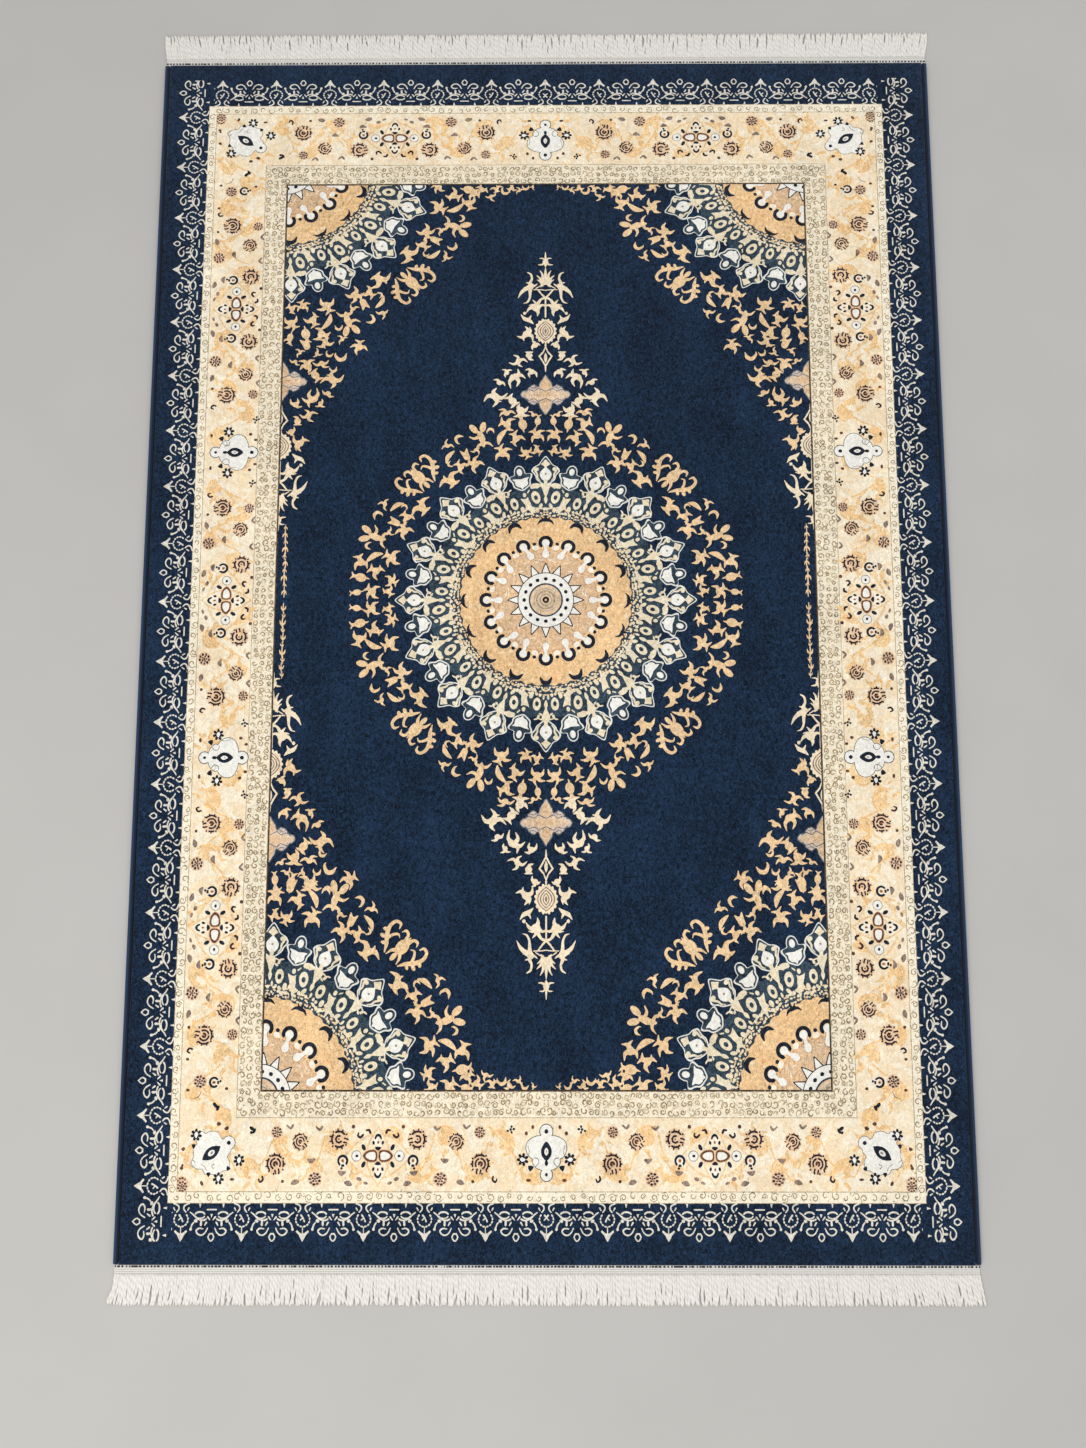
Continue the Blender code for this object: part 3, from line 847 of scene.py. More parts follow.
# Scrolls of the cream ground: nested arcs curled up together, with three petals and a vine that winds on to
# the next curl, set to one and the other side of a strip in turn.
def arabesques(length, depth, pitch, seed):
    seeds = np.random.default_rng(seed)
    shapes = []
    for k in range(int(length / pitch)):
        side = 1 if k % 2 else -1
        t, c = pitch * (k + 0.5) + seeds.uniform(-5, 5), side * depth * 0.2 + seeds.uniform(-4, 4)
        turn, hand = seeds.uniform(0, 360), seeds.choice((-1, 1))
        for step, radius in enumerate((17.5, 12.6, 8, 3.8)):
            start = hand * (step * 40 + seeds.uniform(-20, 20))
            stop = start + hand * seeds.uniform(150, 250)
            shapes.append(("scroll", arc(0, 0, radius, start, stop, 3.9, 9, 0.82)))
        for angle in (-50, 0, 50):
            px, py = polar(1, radians(angle))
            shapes.append(("scroll", placed(horn(0, 0, 13, 4, 6, 0.2), 16 * px, 14 * py, angle)))
        shapes[-7:] = [(tone, placed(shape, t, c, turn)) for tone, shape in shapes[-7:]]
        bend = seeds.uniform(-6, 6, 2)
        vine = [(t, c), (t + pitch * 0.35, c * 1.5 + bend[0]), (t + pitch * 0.65, bend[1]), (t + pitch, -c)]
        shapes.append(("scroll", ribbon(vine, (3.4, 2.4, 3.0), 3)))
        sliver = ribbon([(-9, 2), (0, -3), (9, 2)], (1, 4.4, 1), 3)
        shapes.append(("pale", placed(sliver, t + pitch * 0.5, c * 1.4, seeds.uniform(0, 360))))
    return shapes


# lace edging, s along from a spear and h outwards

# Thread of the lace, a little finer than the widths it is given.
def laceThread(points, widths, steps=2):
    return ribbon(points, [0.86 * width for width in widths], steps)


# Half of the figure on one side of a spear, stretched along s to its reach.
def laceHalf(reach):
    figure = [arc(0, 19.8, 9.5, start, start + 13, 2.0, 3, 0.94) for start in (-40, -13, 14, 41, 68)]
    figure += [
        laceThread([(6.4, 10.8), (3.6, 7.4), (3.6, 3.8), (6.4, 1.4), (10.5, 0)], (2.0, 2.3, 2.3), 3),
        laceThread([(8.6, 8.6), (10.4, 5.4)], (1.6, 2.2), 1), oval(13.6, 31.8, 1.8, 2.1, 0, 8),
        laceThread([(13.8, 31), (15.2, 26.4), (17.6, 23.4)], (2.4, 2.1)), oval(20.2, 21.6, 2.6, 2.2, 20, 7),
        laceThread([(12.4, 11.0), (17, 14.2), (21.4, 18.6), (25.6, 20.4)], (1.8, 2.3, 2.1), 3),
        laceThread([(25.6, 20.4), (30.6, 20.8), (34.4, 19.2)], (2.2, 2.6)),
        arc(25.8, 15.4, 6.2, 8, 172, 1.7, 7, 0.5), arc(25.8, 13.6, 6.4, 190, 350, 2.2, 7, 0.5),
        laceThread([(27.6, 20.6), (27.4, 26.8)], (2.8, 3.5), 1),
        laceThread([(32.4, 27.2), (34.8, 23.4)], (1.6, 2.8), 1),
        laceThread([(36.2, 16.6), (39.4, 20.4)], (2.6, 1.4), 1),
        laceThread([(30.4, 31.4), (25.0, 30.8), (21.2, 33.8), (23.6, 37.8), (28.6, 39.2), (33.4, 36.2),
                    (36.6, 30.4)], (1.6, 2.6, 2.3, 2.1, 1.8), 3),
        np.array([(24.0, 0), (27.2, 0), (26.0, 5.0), (25.2, 5.0)]),
    ]
    return [shape * (reach / 41.5, 1) for shape in figure]


# One repeat: a spear, the figure on both sides of it, and the joint to the next repeat.
def laceUnit(reach):
    point = mirrored([(0, 47.5), (-2.8, 43), (-4.6, 39.4), (-9.2, 34.8), (-7.6, 33.0), (-3.4, 36.2),
                      (0, 37.4)])
    spear = [np.array(point), laceThread([(0, 37), (0, 29)], (1.5, 1.5), 1),
             laceThread([(-2.6, 14.4), (0.4, 17.8), (2.4, 22.4)], (3.0, 1.8, 2.6)),
             laceThread([(-3.4, 20.6), (-0.6, 18.2)], (1.6, 2.0), 1)]
    eye = np.array(mirrored([(0, 6.8), (3.8, 2.8), (5.0, -0.6), (2.4, -5.2)]))
    joint = [eye + (reach, 41.6), laceThread([(reach - 6.4, 7.6), (reach + 6.4, 7.6)], (2.1, 2.1), 1),
             np.array([(reach - 1.8, 13), (reach + 1.8, 13), (reach, 17.6)])]
    return [("lace", spear + both(*laceHalf(reach)) + joint), ("navy", eye * 0.62 + (reach, 41.6))]


# the left half of the pattern, painted from the ground up

# Band round the rug between an inner and an outer rectangle, as one C-shaped outline of the left half.
def band(inner, outer):
    (x0, v0), (x1, v1) = inner, outer
    outside = [(0, v1), (-x1, v1), (-x1, -v1), (0, -v1)]
    return np.array([*outside, (0, -v0), (-x0, -v0), (-x0, v0), (0, v0)], float)


field = {
    "corner": (-402.0, 708.0, -690.0),        # middle of the quarter medallions: across, far and near
    "cornerSize": 1.03, "cornerTurn": 3.2,    # against the middle medallion, and degrees
}


# Field: quarter medallions, pendants and the middle medallion with their leaves, then leaves on the shoulders
# and the ends, and a thin vine beside the long sides.
def paintField():
    fieldX, fieldV = bands["field"]
    painted["region"] = (-fieldX, 0.0, -fieldV, fieldV)
    cx, far, near = field["corner"]
    for y, turn in ((far, field["cornerTurn"]), (near, -field["cornerTurn"])):
        size = field["cornerSize"]
        ringOfLeaves(cx, y, size, wedges=(6, 7) if y > 0 else (0, 1))
        medallion(cx, y, size, turn)
    for side in (1, -1):
        hangPendant(lambda shape: shape * (1, side))
        hangPendant(lambda shape: np.stack([shape[:, 0] - fieldX, side * (669 - shape[:, 1])], 1), True)
    ringOfLeaves(0, 0)
    medallion(0, 0)
    kinds = leafKinds("leaf")
    edgeRow = [(-112, 664, "star", 20, 0.8), (-98, 672, "maple", 80, 0.75), (-84, 661, "twig", 200, 0.9),
               (-76, 673, "wide", 10, 0.6), (-62, 669, "hook", 160, 0.7), (-52, 675, "maple", 170, 0.6),
               (-40, 670, "twig", 30, 0.7), (-30, 676, "hook", 190, 0.55), (-19, 676, "twig", 90, 0.5)]
    shoulder = [(-390, 414, "twig", 90, 0.9), (-366, 409, "vase", 20, 1.1), (-336, 410, "wide", 190, 0.8),
                (-374, 393, "twig", 40, 0.8), (-349, 393, "twig", 250, 0.8), (-329, 391, "hook", 170, 0.6),
                (-311, 387, "hook", 190, 0.95), (-284, 402, "star", 30, 0.95), (-310, 415, "twig", 40, 0.85),
                (-322, 366, "hook", 200, 0.6)]
    for side in (1, -1):
        for x, v, kind, turn, size in shoulder:
            lay(kinds[kind], spot(x, v * side, turn * side, size, 1))
        for x, v, kind, turn, size in edgeRow:
            lay(kinds[kind], spot(x, v * side, turn * side, size, 1))
        for k in range(10):       # the thin vine beside the field's long sides
            size, reach = (0.7, 0.5, 0.84, 0.56)[k % 4], (9.0, 6.6)[k % 2]
            joint = [ribbon([(0, -11), (0.8, 0), (0, 11)], (1.5, 2.6, 1.5), 2),
                     ribbon([(0, 3), (-3.4, 0.6), (-4.8, -4.4)], (3.6, 3.2, 1.2), 2),
                     ribbon([(0, 4), (3.4, 1.4), (4.8, -reach * 0.5)], (3.6, 3.0, 1.2), 2)]
            x, v = -388.5 + 0.8 * sin(2.1 * k), (12 + 11.0 * k) * side
            lay([("leaf", joint)], spot(x, v, 90 - 90 * side, size, (1, -1)[k % 2]))


guards = {
    "innerGuard": {"inside": "seam", "ground": "guard", "light": "oliveLight", "rows": (6.0, 16.4, 26.8),
                   "pitch": 10.0, "width": 1.7, "radius": 4.9, "seed": 3},
    "outerGuard": {"inside": "border", "ground": "edge", "light": "olive", "rows": (6.8,),
                   "pitch": 14.0, "width": 1.3, "radius": 5.4, "seed": 4},
}


# Guard band: rows of spiral curls, the radius growing evenly with the angle, with commas between them.
def paintGuard(name):
    guard = guards[name]
    seeds, light = np.random.default_rng(guard["seed"]), guard["light"]
    pitch, width = guard["pitch"], guard["width"]
    (x0, v0), (x1, v1) = bands[guard["inside"]], bands[name]
    paint(guard["ground"], band((x0, v0), (x1, v1)))
    paint("olive", band((x0, v0), (x0 + 0.9, v0 + 0.9)), band((x1 - 0.8, v1 - 0.8), (x1, v1)))
    for row in guard["rows"]:
        x, v = x0 + row, v0 + row
        spots = [(-x, t) for t in np.arange(-v + pitch * 0.6, v, pitch)]
        spots += [(t, side * v) for side in (1, -1) for t in np.arange(-x + pitch * 0.6, 0, pitch)]
        for place in spots:
            turns, hand = seeds.uniform(0.7, 1.35), seeds.choice((-1, 1))
            size = guard["radius"] * seeds.uniform(0.75, 1.2)
            a = seeds.uniform(0, 2 * pi) + hand * np.linspace(0, 2 * pi * turns, 8)
            r = size * np.linspace(0.3, 1.0, 8)
            curl = ribbon(np.stack([r * np.cos(a), r * np.sin(a)], 1), (width, width * 1.3, width * 0.8), 1)
            paint("olive" if seeds.uniform() < 0.6 else light, curl + place + seeds.uniform(-2.0, 2.0, 2))
            comma = np.array([(-width / 2, -1.6), (width / 2, -1.0), (width, 1.4), (0, 0.8)])
            at = np.array(place) + seeds.uniform(-0.6, 0.6, 2) * pitch
            paint(light, placed(comma, at[0], at[1], seeds.uniform(0, 360)))


# Border: scrolls on the cream ground, crosses with a run on both sides, cartouches and corners.
def paintBorder():
    paint("ground", band(bands["innerGuard"], bands["border"]))
    middleX, middleV = 474.0, 764.5
    ends = [lambda shape: np.stack([shape[:, 0], middleV - shape[:, 1]], 1),
            lambda shape: np.stack([shape[:, 0], -middleV + shape[:, 1]], 1)]

    def side(shape):
        return np.stack([-middleX + shape[:, 1], shape[:, 0]], 1)

    lay(arabesques(1560, 78, 39, 11), lambda shape: side(shape - (780, 0)))
    for k, end in enumerate(ends):
        lay(arabesques(505, 88, 39, 21 + k), lambda shape: end(shape * (-1, 1)))
    run = borderRun()
    crosses = [(side, 0), (side, 467), (side, -467), (ends[0], -235), (ends[1], -235)]
    for strip, t0 in crosses:
        lay(crossMotif(), lambda shape: strip(shape + (t0, 0)))
        for direction in (1, -1):
            for motif, t, c, turn in run:
                here = spot(t0 + direction * t, c, direction * turn, 1, direction)
                lay(motif, lambda shape: strip(here(shape)))
    plaque = cartoucheSet()
    for v, flip in ((231, 1), (-231, -1)):
        lay(plaque, lambda shape: np.stack([-468.5 + shape[:, 0], v + flip * shape[:, 1]], 1))
    for sign in (1, -1):
        lay(plaque, lambda shape: np.stack([shape[:, 1], sign * (759 - shape[:, 0])], 1))
        lay(cornerCartouche(), lambda shape: np.stack([-468 + shape[:, 0], sign * (761 + shape[:, 1])], 1))
        lay(smallRosette(8.6), spot(-487.6, sign * 670))
        lay(smallRosette(7.4), spot(-507.4, sign * 803))
        lay(ringFlower(), spot(-467.6, sign * 671, 90, 0.95))
        dots = ((-504, 681), (-449.6, 679), (-458, 724), (-447, 729), (-509, 780), (-508, 756), (-506, 641))
        paint("brown", *[oval(x, sign * v, 2.5, 2.1, 0, 8) for x, v in dots])
        paint("bit", placed(ribbon([(-7, 1), (0, -2), (7, 1)], (0.8, 1.4, 0.8), 2), -490, sign * 688, 40))


# Lace: repeats along both ends, and then along the side at its own pitch.
def paintLace():
    end, sideUnit = laceUnit(42.25), laceUnit(44.6)
    for sign in (1, -1):
        painted["region"] = (-520.0, 0.0, -871.0, 871.0)
        for k in range(7):
            lay(end, lambda shape: np.stack([-84.5 * k + shape[:, 0], sign * (824 + shape[:, 1])], 1))
    painted["region"] = (-600.0, 0.0, -871.0, 871.0)
    for k in range(-10, 11):
        v = 89.2 * k + 0.3 * abs(k) - 2.0
        lay(sideUnit, lambda shape: np.stack([-527 - shape[:, 1], v + shape[:, 0]], 1))
    painted["region"] = leftHalf


halfX = rug["width"] / 2 - rug["edgeWidth"] - rug["seam"]
halfY = rug["length"] / 2
paint("navy", np.array([(-halfX, -halfY), (0, -halfY), (0, halfY), (-halfX, halfY)]))
paintField()
painted["region"] = leftHalf
paint("seamBrown", band((399.6, 680.4), bands["seam"]))
paintGuard("innerGuard")
paintBorder()
paintGuard("outerGuard")
paintLace()
for inset in (0.5, 1.3, rug["rimReach"]):   # lines that the pile's rim can bend on
    paint("rim", np.array([(-halfX + inset, -halfY + inset), (0, -halfY + inset), (0, halfY - inset),
                           (-halfX + inset, halfY - inset)]))
print("pattern: outlines", len(painted["outlines"]), "points", sum(map(len, painted["outlines"])))


# from outlines to triangles

# Every crossing is resolved at once, and each triangle takes the tone of the last outline that covers it.
def knit():
    outlines = painted["outlines"]
    sizes = np.array([len(shape) for shape in outlines])
    starts = np.concatenate([[0], np.cumsum(sizes)])
    points = np.vstack(outlines)
    faces = [list(range(a, b)) for a, b in zip(starts[:-1], starts[1:])]
    made = delaunay_2d_cdt([tuple(p) for p in points.tolist()], [], faces, 0, 1e-4, True)
    verts = np.array([tuple(v) for v in made[0]])
    tris = np.array(made[2])
    counts = np.fromiter(map(len, made[5]), int, len(tris))
    covers = np.fromiter(chain.from_iterable(made[5]), int, counts.sum())
    owner = np.repeat(np.arange(len(tris)), counts)
    a, b, c = (verts[tris[:, k]] for k in range(3))
    area = 0.5 * ((b - a)[:, 0] * (c - a)[:, 1] - (b - a)[:, 1] * (c - a)[:, 0])
    drawn = np.array([abs(areaOf(shape)) for shape in outlines])
    filled = np.bincount(covers, area[owner], len(outlines))
    sound = filled < drawn * 1.35 + 25           # an outline that crosses itself would flood its surroundings
    rim = np.array([tone == "rim" for tone in painted["tones"]])
    usable = sound & ~rim
    print("outlines that crossed themselves:", int((~sound).sum()))
    top = np.zeros(len(tris), int)
    shown = usable[covers]
    np.maximum.at(top, owner[shown], covers[shown])
    names = list(tones)
    toneIndex = np.array([names.index(t) if t in tones else 0 for t in painted["tones"]])
    thin = area > 1e-5
    return verts, tris[thin], toneIndex[top][thin]


# sRGB to linear light.
def linear(colour):
    c = np.asarray(colour, float) / 255
    return np.where(c <= 0.04045, c / 12.92, ((c + 0.055) / 1.055) ** 2.4)


# Mesh in metres from points in millimetres, with a number for each point under each given name.
def makeMesh(name, points, faces, material, smooth=True, **numbers):
    mesh = bpy.data.meshes.new(name)
    mesh.from_pydata((points / 1000).tolist(), [], faces)
    mesh.polygons.foreach_set("use_smooth", np.full(len(mesh.polygons), smooth))
    for key, values in numbers.items():
        mesh.attributes.new(key, "FLOAT", "POINT").data.foreach_set("value", values.astype(np.float32))
    mesh.materials.append(material)
    piece = bpy.data.objects.new(name, mesh)
    bpy.context.scene.collection.objects.link(piece)
    return piece


# Triangles of the pile. Each has a linear colour with its shading depth, and its share of the soft scrolls.
def makePile(name, points, faces, material, colours, soft):
    piece = makeMesh(name, points, faces.tolist(), material)
    layer = piece.data.color_attributes.new(name="tone", type="FLOAT_COLOR", domain="CORNER")
    layer.data.foreach_set("color", np.repeat(colours, 3, axis=0).ravel().astype(np.float32))
    softness = piece.data.attributes.new("soft", "FLOAT", "CORNER")
    softness.data.foreach_set("value", np.repeat(soft, 3).astype(np.float32))
    return piece


# Turns all faces of a closed piece outwards.
def outward(piece):
    work = bmesh.new()
    work.from_mesh(piece.data)
    bmesh.ops.recalc_face_normals(work, faces=work.faces)
    work.to_mesh(piece.data)
    work.free()
    return piece


# Faces of a grid of rows by columns of points, closed round either way when asked.
def gridFaces(rows, columns, closeRows=False, closeColumns=False):
    r = np.arange(rows if closeRows else rows - 1)[:, None]
    c = np.arange(columns if closeColumns else columns - 1)[None, :]
    r1, c1 = (r + 1) % rows, (c + 1) % columns
    corners = [r * columns + c, r * columns + c1, r1 * columns + c1, r1 * columns + c]
    return np.stack(corners, -1).reshape(-1, 4)


# materials

# One value in a shader, so that sums on it are written as they are read.
class Yarn:
    def __init__(self, look, socket):
        self.look, self.socket = look, socket

    def sum(self, operation, a, b=0.0, clamp=False):
        return self.look.node("Math", {"operation": operation, "use_clamp": clamp}, {0: a, 1: b})

    def __add__(self, other):
        return self.sum("ADD", self, other)

    def __radd__(self, other):
        return self.sum("ADD", other, self)

    def __sub__(self, other):
        return self.sum("SUBTRACT", self, other)

    def __rsub__(self, other):
        return self.sum("SUBTRACT", other, self)

    def __mul__(self, other):
        return self.sum("MULTIPLY", self, other)

    def __rmul__(self, other):
        return self.sum("MULTIPLY", other, self)

    def absolute(self):
        return self.sum("ABSOLUTE", self)

    def sine(self):
        return self.sum("SINE", self)

    def above(self, other):
        return self.sum("GREATER_THAN", self, other)

    def atLeast(self, other):
        return self.sum("MAXIMUM", self, other)

    def clamped(self):
        return self.sum("ADD", self, 0.0, True)


class Look:
    def __init__(self, name, fixed):
        self.material = bpy.data.materials.new(name)
        self.material.use_nodes = True
        self.tree = self.material.node_tree
        self.shader = self.tree.nodes["Principled BSDF"]
        for socket, value in fixed.items():
            self.shader.inputs[socket].default_value = value

    def node(self, kind, settings=None, sockets=None, out=0):
        made = self.tree.nodes.new("ShaderNode" + kind)
        for key, value in (settings or {}).items():
            setattr(made, key, value)
        for key, value in (sockets or {}).items():
            self.join(made.inputs[key], value)
        return Yarn(self, made.outputs[out])

    def join(self, socket, value):
        if isinstance(value, Yarn):
            self.tree.links.new(value.socket, socket)
        else:
            socket.default_value = value

    def place(self, scale=(1, 1, 1)):
        spot = self.node("TexCoord", out="Object")
        return self.node("Mapping", {"vector_type": "POINT"}, {"Vector": spot, "Scale": scale})

    def noise(self, vector, scale, detail=2.0, rough=0.55, twist=0.0):
        sockets = {"Vector": vector, "Scale": scale, "Detail": detail, "Roughness": rough,
                   "Distortion": twist}
        return self.node("TexNoise", {}, sockets, "Fac")

    def axes(self, vector):
        split = self.node("SeparateXYZ", {}, {0: vector}).socket.node
        return [Yarn(self, split.outputs[k]) for k in range(3)]

    def blend(self, share, first, second):
        return self.node("Mix", {"data_type": "RGBA"}, {0: share, 6: first, 7: second}, 2)

    def shade(self, colour, amount):
        return self.node("VectorMath", {"operation": "SCALE"}, {0: colour, "Scale": amount})

    def finish(self, colour, rough, height, distance, strength=1.0):
        self.join(self.shader.inputs["Base Color"], colour)
        self.join(self.shader.inputs["Roughness"], rough)
        bump = self.node("Bump", {}, {"Strength": strength, "Distance": distance, "Height": height}, "Normal")
        self.join(self.shader.inputs["Normal"], bump)
        return self.material


# Linear colour with full alpha.
def solid(colour):
    return (*linear(colour), 1.0)


pileLook = {
    "tufts": 300.0,           # tufts to a metre
    "tuftShade": 6.4,         # how much their light and dark differ in the darkest tone
    "blots": 190.0, "blotShade": 1.4,
    "patches": 16.0, "patchShade": 1.5,
    "lightTones": 0.17,       # how much of this shading the lightest tones keep
    "scrolls": 24.0, "scrollWidth": 10.0,   # soft scrolls of the ground to a metre, and how narrow they are
    "warm": (0.97, 0.79, 0.57, 1.0),        # what they multiply the cream and peach tones by
    "roughness": 0.9,
}


# The soft scrolls follow the level lines of one noise, which wind and curl, and fade out to both sides.
def velvet():
    look = Look("velvetPile", {"Sheen Weight": 0.1, "Sheen Roughness": 0.5, "Specular IOR Level": 0.1})
    place = look.place()
    tone = look.node("Attribute", {"attribute_name": "tone"}, out="Color")
    depth = look.node("Attribute", {"attribute_name": "tone"}, out="Alpha")
    soft = look.node("Attribute", {"attribute_name": "soft"}, out="Fac")
    tufts = look.noise(look.place((1.0, 0.7, 1.0)), pileLook["tufts"], 3.0, 0.7, 1.4)
    blots = look.noise(place, pileLook["blots"], 3.0, 0.65)
    patches = look.noise(look.place((1.0, 0.5, 1.0)), pileLook["patches"], 3.0, 0.6)
    winding = look.noise(place, pileLook["scrolls"], 1.0, 0.5, 1.2)
    scrolls = (1.25 - (winding - 0.5).absolute() * pileLook["scrollWidth"]).clamped()
    blooms = ((look.noise(place, 42.0, 2.0, 0.5) - 0.54) * 5.0).clamped()
    shade = (tufts - 0.5) * pileLook["tuftShade"] + (blots - 0.5) * pileLook["blotShade"]
    shade = 1.0 + (shade + (patches - 0.5) * pileLook["patchShade"]) * depth
    shown = (scrolls + blooms * 0.6 + (blots - 0.5) * 0.5).clamped() * soft
    warmed = look.node("Mix", {"data_type": "RGBA", "blend_type": "MULTIPLY"},
                       {0: shown, 6: tone, 7: pileLook["warm"]}, 2)
    rough = pileLook["roughness"] + (tufts - 0.5) * 0.16
    return look.finish(look.shade(warmed, shade.atLeast(0.3)), rough, tufts * 0.8 + blots * 0.4, 0.001, 0.5)


backLook = {
    "warp": 2100.0, "weft": 1700.0,           # radians of its weave to a metre, across and along
    "jute": ((172, 156, 128), (214, 200, 172)),
    "yarn": ((22, 34, 56), (34, 50, 76)),     # foot of the pile, above the jute
    "juteTop": 0.0012,        # m
}


# The weave is the sine across times the sine along. Above the jute stands the foot of the pile.
def backCloth():
    look = Look("wovenBack", {"Specular IOR Level": 0.2})
    place = look.place()
    x, y, z = look.axes(place)
    warp = (x * backLook["warp"]).sine()
    weft = (y * backLook["weft"]).sine()
    grid = warp * weft
    fuzz = look.noise(place, 900.0, 3.0, 0.6)
    jute = look.blend(0.5 + grid * 0.35, *map(solid, backLook["jute"]))
    yarn = look.blend(fuzz, *map(solid, backLook["yarn"]))
    colour = look.blend(z.above(backLook["juteTop"]), look.shade(jute, 0.75 + fuzz * 0.5), yarn)
    return look.finish(colour, 0.86 + fuzz * 0.1, grid * 0.5 + fuzz * 0.3, 0.0006, 0.7)


# The groove colour is painted shade in the grooves between the wrapped turns, and the shadow colour is a painted
# shadow beside the pile.
edgeLook = {"yarn": (30, 58, 92), "groove": (8, 16, 28), "shadow": (8, 14, 24), "shadowFrom": 0.5958}


# The wrapped yarn, with painted shade in its grooves and a painted shadow in the narrow strip beside the pile.
def edgeYarn():
    look = Look("overcastYarn", {"Sheen Weight": 0.25, "Sheen Roughness": 0.4, "Specular IOR Level": 0.3})
    place = look.place()
    x = look.axes(place)[0]
    groove = look.node("Attribute", {"attribute_name": "groove"}, out="Fac")
    fuzz = look.noise(place, 1500.0, 3.0, 0.6)
    streak = look.noise(look.place((1.0, 0.1, 1.0)), 120.0, 2.0, 0.5)
    # Painted shadow on the inner side of each edge, next to the pile.
    inner = ((edgeLook["shadowFrom"] - x.absolute()) * 1600.0).clamped()
    colour = look.blend(groove, solid(edgeLook["yarn"]), solid(edgeLook["groove"]))
    colour = look.blend(inner * 0.85, colour, solid(edgeLook["shadow"]))
    colour = look.shade(colour, 0.72 + fuzz * 0.35 + streak * 0.25)
    return look.finish(colour, 0.7 + fuzz * 0.2, fuzz, 0.0003, 0.6)


# The groove colour is painted shade in the twists and in the header's hollows. The low colour is painted shade low
# down between the strands.
fringeLook = {
    "yarn": (244, 240, 232), "groove": (186, 174, 158), "low": (124, 100, 78), "weft": (146, 142, 136),
    "stitch": (30, 34, 44), "stitches": 1257.0,    # radians to a metre
    "weftRows": 2.2,          # radians to a millimetre
}


# Dark stitches stand in one broken row beside the pile, and the weft rows follow the distance from the pile.
# What lies low between the strands is darker with painted shade, and the twist grooves of the strands and the hollows
# of the header take painted shade too.
def fringeYarn():
    look = Look("fringeYarn", {"Sheen Weight": 0.15, "Sheen Roughness": 0.5, "Specular IOR Level": 0.25})
    place = look.place()
    x, y, z = look.axes(place)
    groove = look.node("Attribute", {"attribute_name": "groove"}, out="Fac")
    header = look.node("Attribute", {"attribute_name": "header"}, out="Fac")
    fuzz = look.noise(look.place((1.0, 0.35, 1.0)), 1400.0, 3.0, 0.6)
    cloud = look.noise(place, 60.0, 2.0, 0.5)
    fromPile = (y.absolute() - halfY / 1000 - 0.0003) * 1000.0
    broken = look.noise(look.place((1.0, 0.1, 1.0)), 150.0, 2.0, 0.5)
    row = (1.8 - (fromPile - y.above(0.0) * 1.6 - 2.9).absolute()).clamped() * header
    stitch = (x * fringeLook["stitches"] + broken * 9.0).sine()
    stitches = ((stitch + broken * 4.0 - 1.6) * 3.0).clamped() * row
    uneven = look.noise(look.place((0.4, 1.0, 1.0)), 420.0, 2.0, 0.6)
    weft = (fromPile * fringeLook["weftRows"]).sine() * 0.5 + uneven
    # Painted shade on the low parts of the strands, near the floor between them.
    low = 1.0 - ((z * 1000.0 - 0.5) * 0.62).clamped()
    yarn = look.blend(groove, solid(fringeLook["yarn"]), solid(fringeLook["groove"]))
    yarn = look.blend(low * (1.0 - header), yarn, solid(fringeLook["low"]))
    yarn = look.blend(((weft - 0.35) * 3.0).clamped() * header * 0.5, yarn, solid(fringeLook["weft"]))
    yarn = look.blend(stitches, yarn, solid(fringeLook["stitch"]))
    yarn = look.shade(yarn, 0.9 + fuzz * 0.14 + cloud * 0.08)
    return look.finish(yarn, 0.8 + fuzz * 0.15, fuzz, 0.0004, 0.7)


floorLook = {"colours": ((190, 187, 181), (197, 194, 188)), "roughness": 0.7}


# Pale floor with soft clouds from one noise.
def paleFloor():
    look = Look("paleFloor", {"Specular IOR Level": 0.3})
    cloud = look.noise(look.place(), 6.0, 3.0, 0.5)
    colour = look.blend(cloud, *map(solid, floorLook["colours"]))
    return look.finish(colour, floorLook["roughness"] + cloud * 0.1, cloud, 0.0002, 0.2)


# pile

verts, tris, toneOf = knit()
onAxis = np.abs(verts[:, 0]) < 1e-3
verts[onAxis, 0] = 0
twin = np.where(onAxis, np.arange(len(verts)), len(verts) + np.cumsum(~onAxis) - 1)
allVerts = np.vstack([verts, verts[~onAxis] * (-1, 1)])
allTris = np.vstack([tris, twin[tris][:, ::-1]])
allTones = np.concatenate([toneOf, toneOf])

share = np.clip(np.abs(allVerts[:, 1]) / halfY, 0, 1)
placeY = allVerts[:, 1] + rug["shift"] * (1 - share ** rug["shiftPower"])
toRim = np.minimum(halfX - np.abs(allVerts[:, 0]), halfY - np.abs(placeY))
placeZ = rug["pileHeight"] - rug["rimDrop"] * np.clip(1 - toRim / rug["rimReach"], 0, 1) ** 2
pilePoints = np.stack([allVerts[:, 0], placeY, placeZ], 1)
middles = allVerts[allTris].mean(1)


# Triangles whose middles lie inside the outer edge of a band.
def within(name):
    return (np.abs(middles[:, :2]) < bands[name]).all(1)


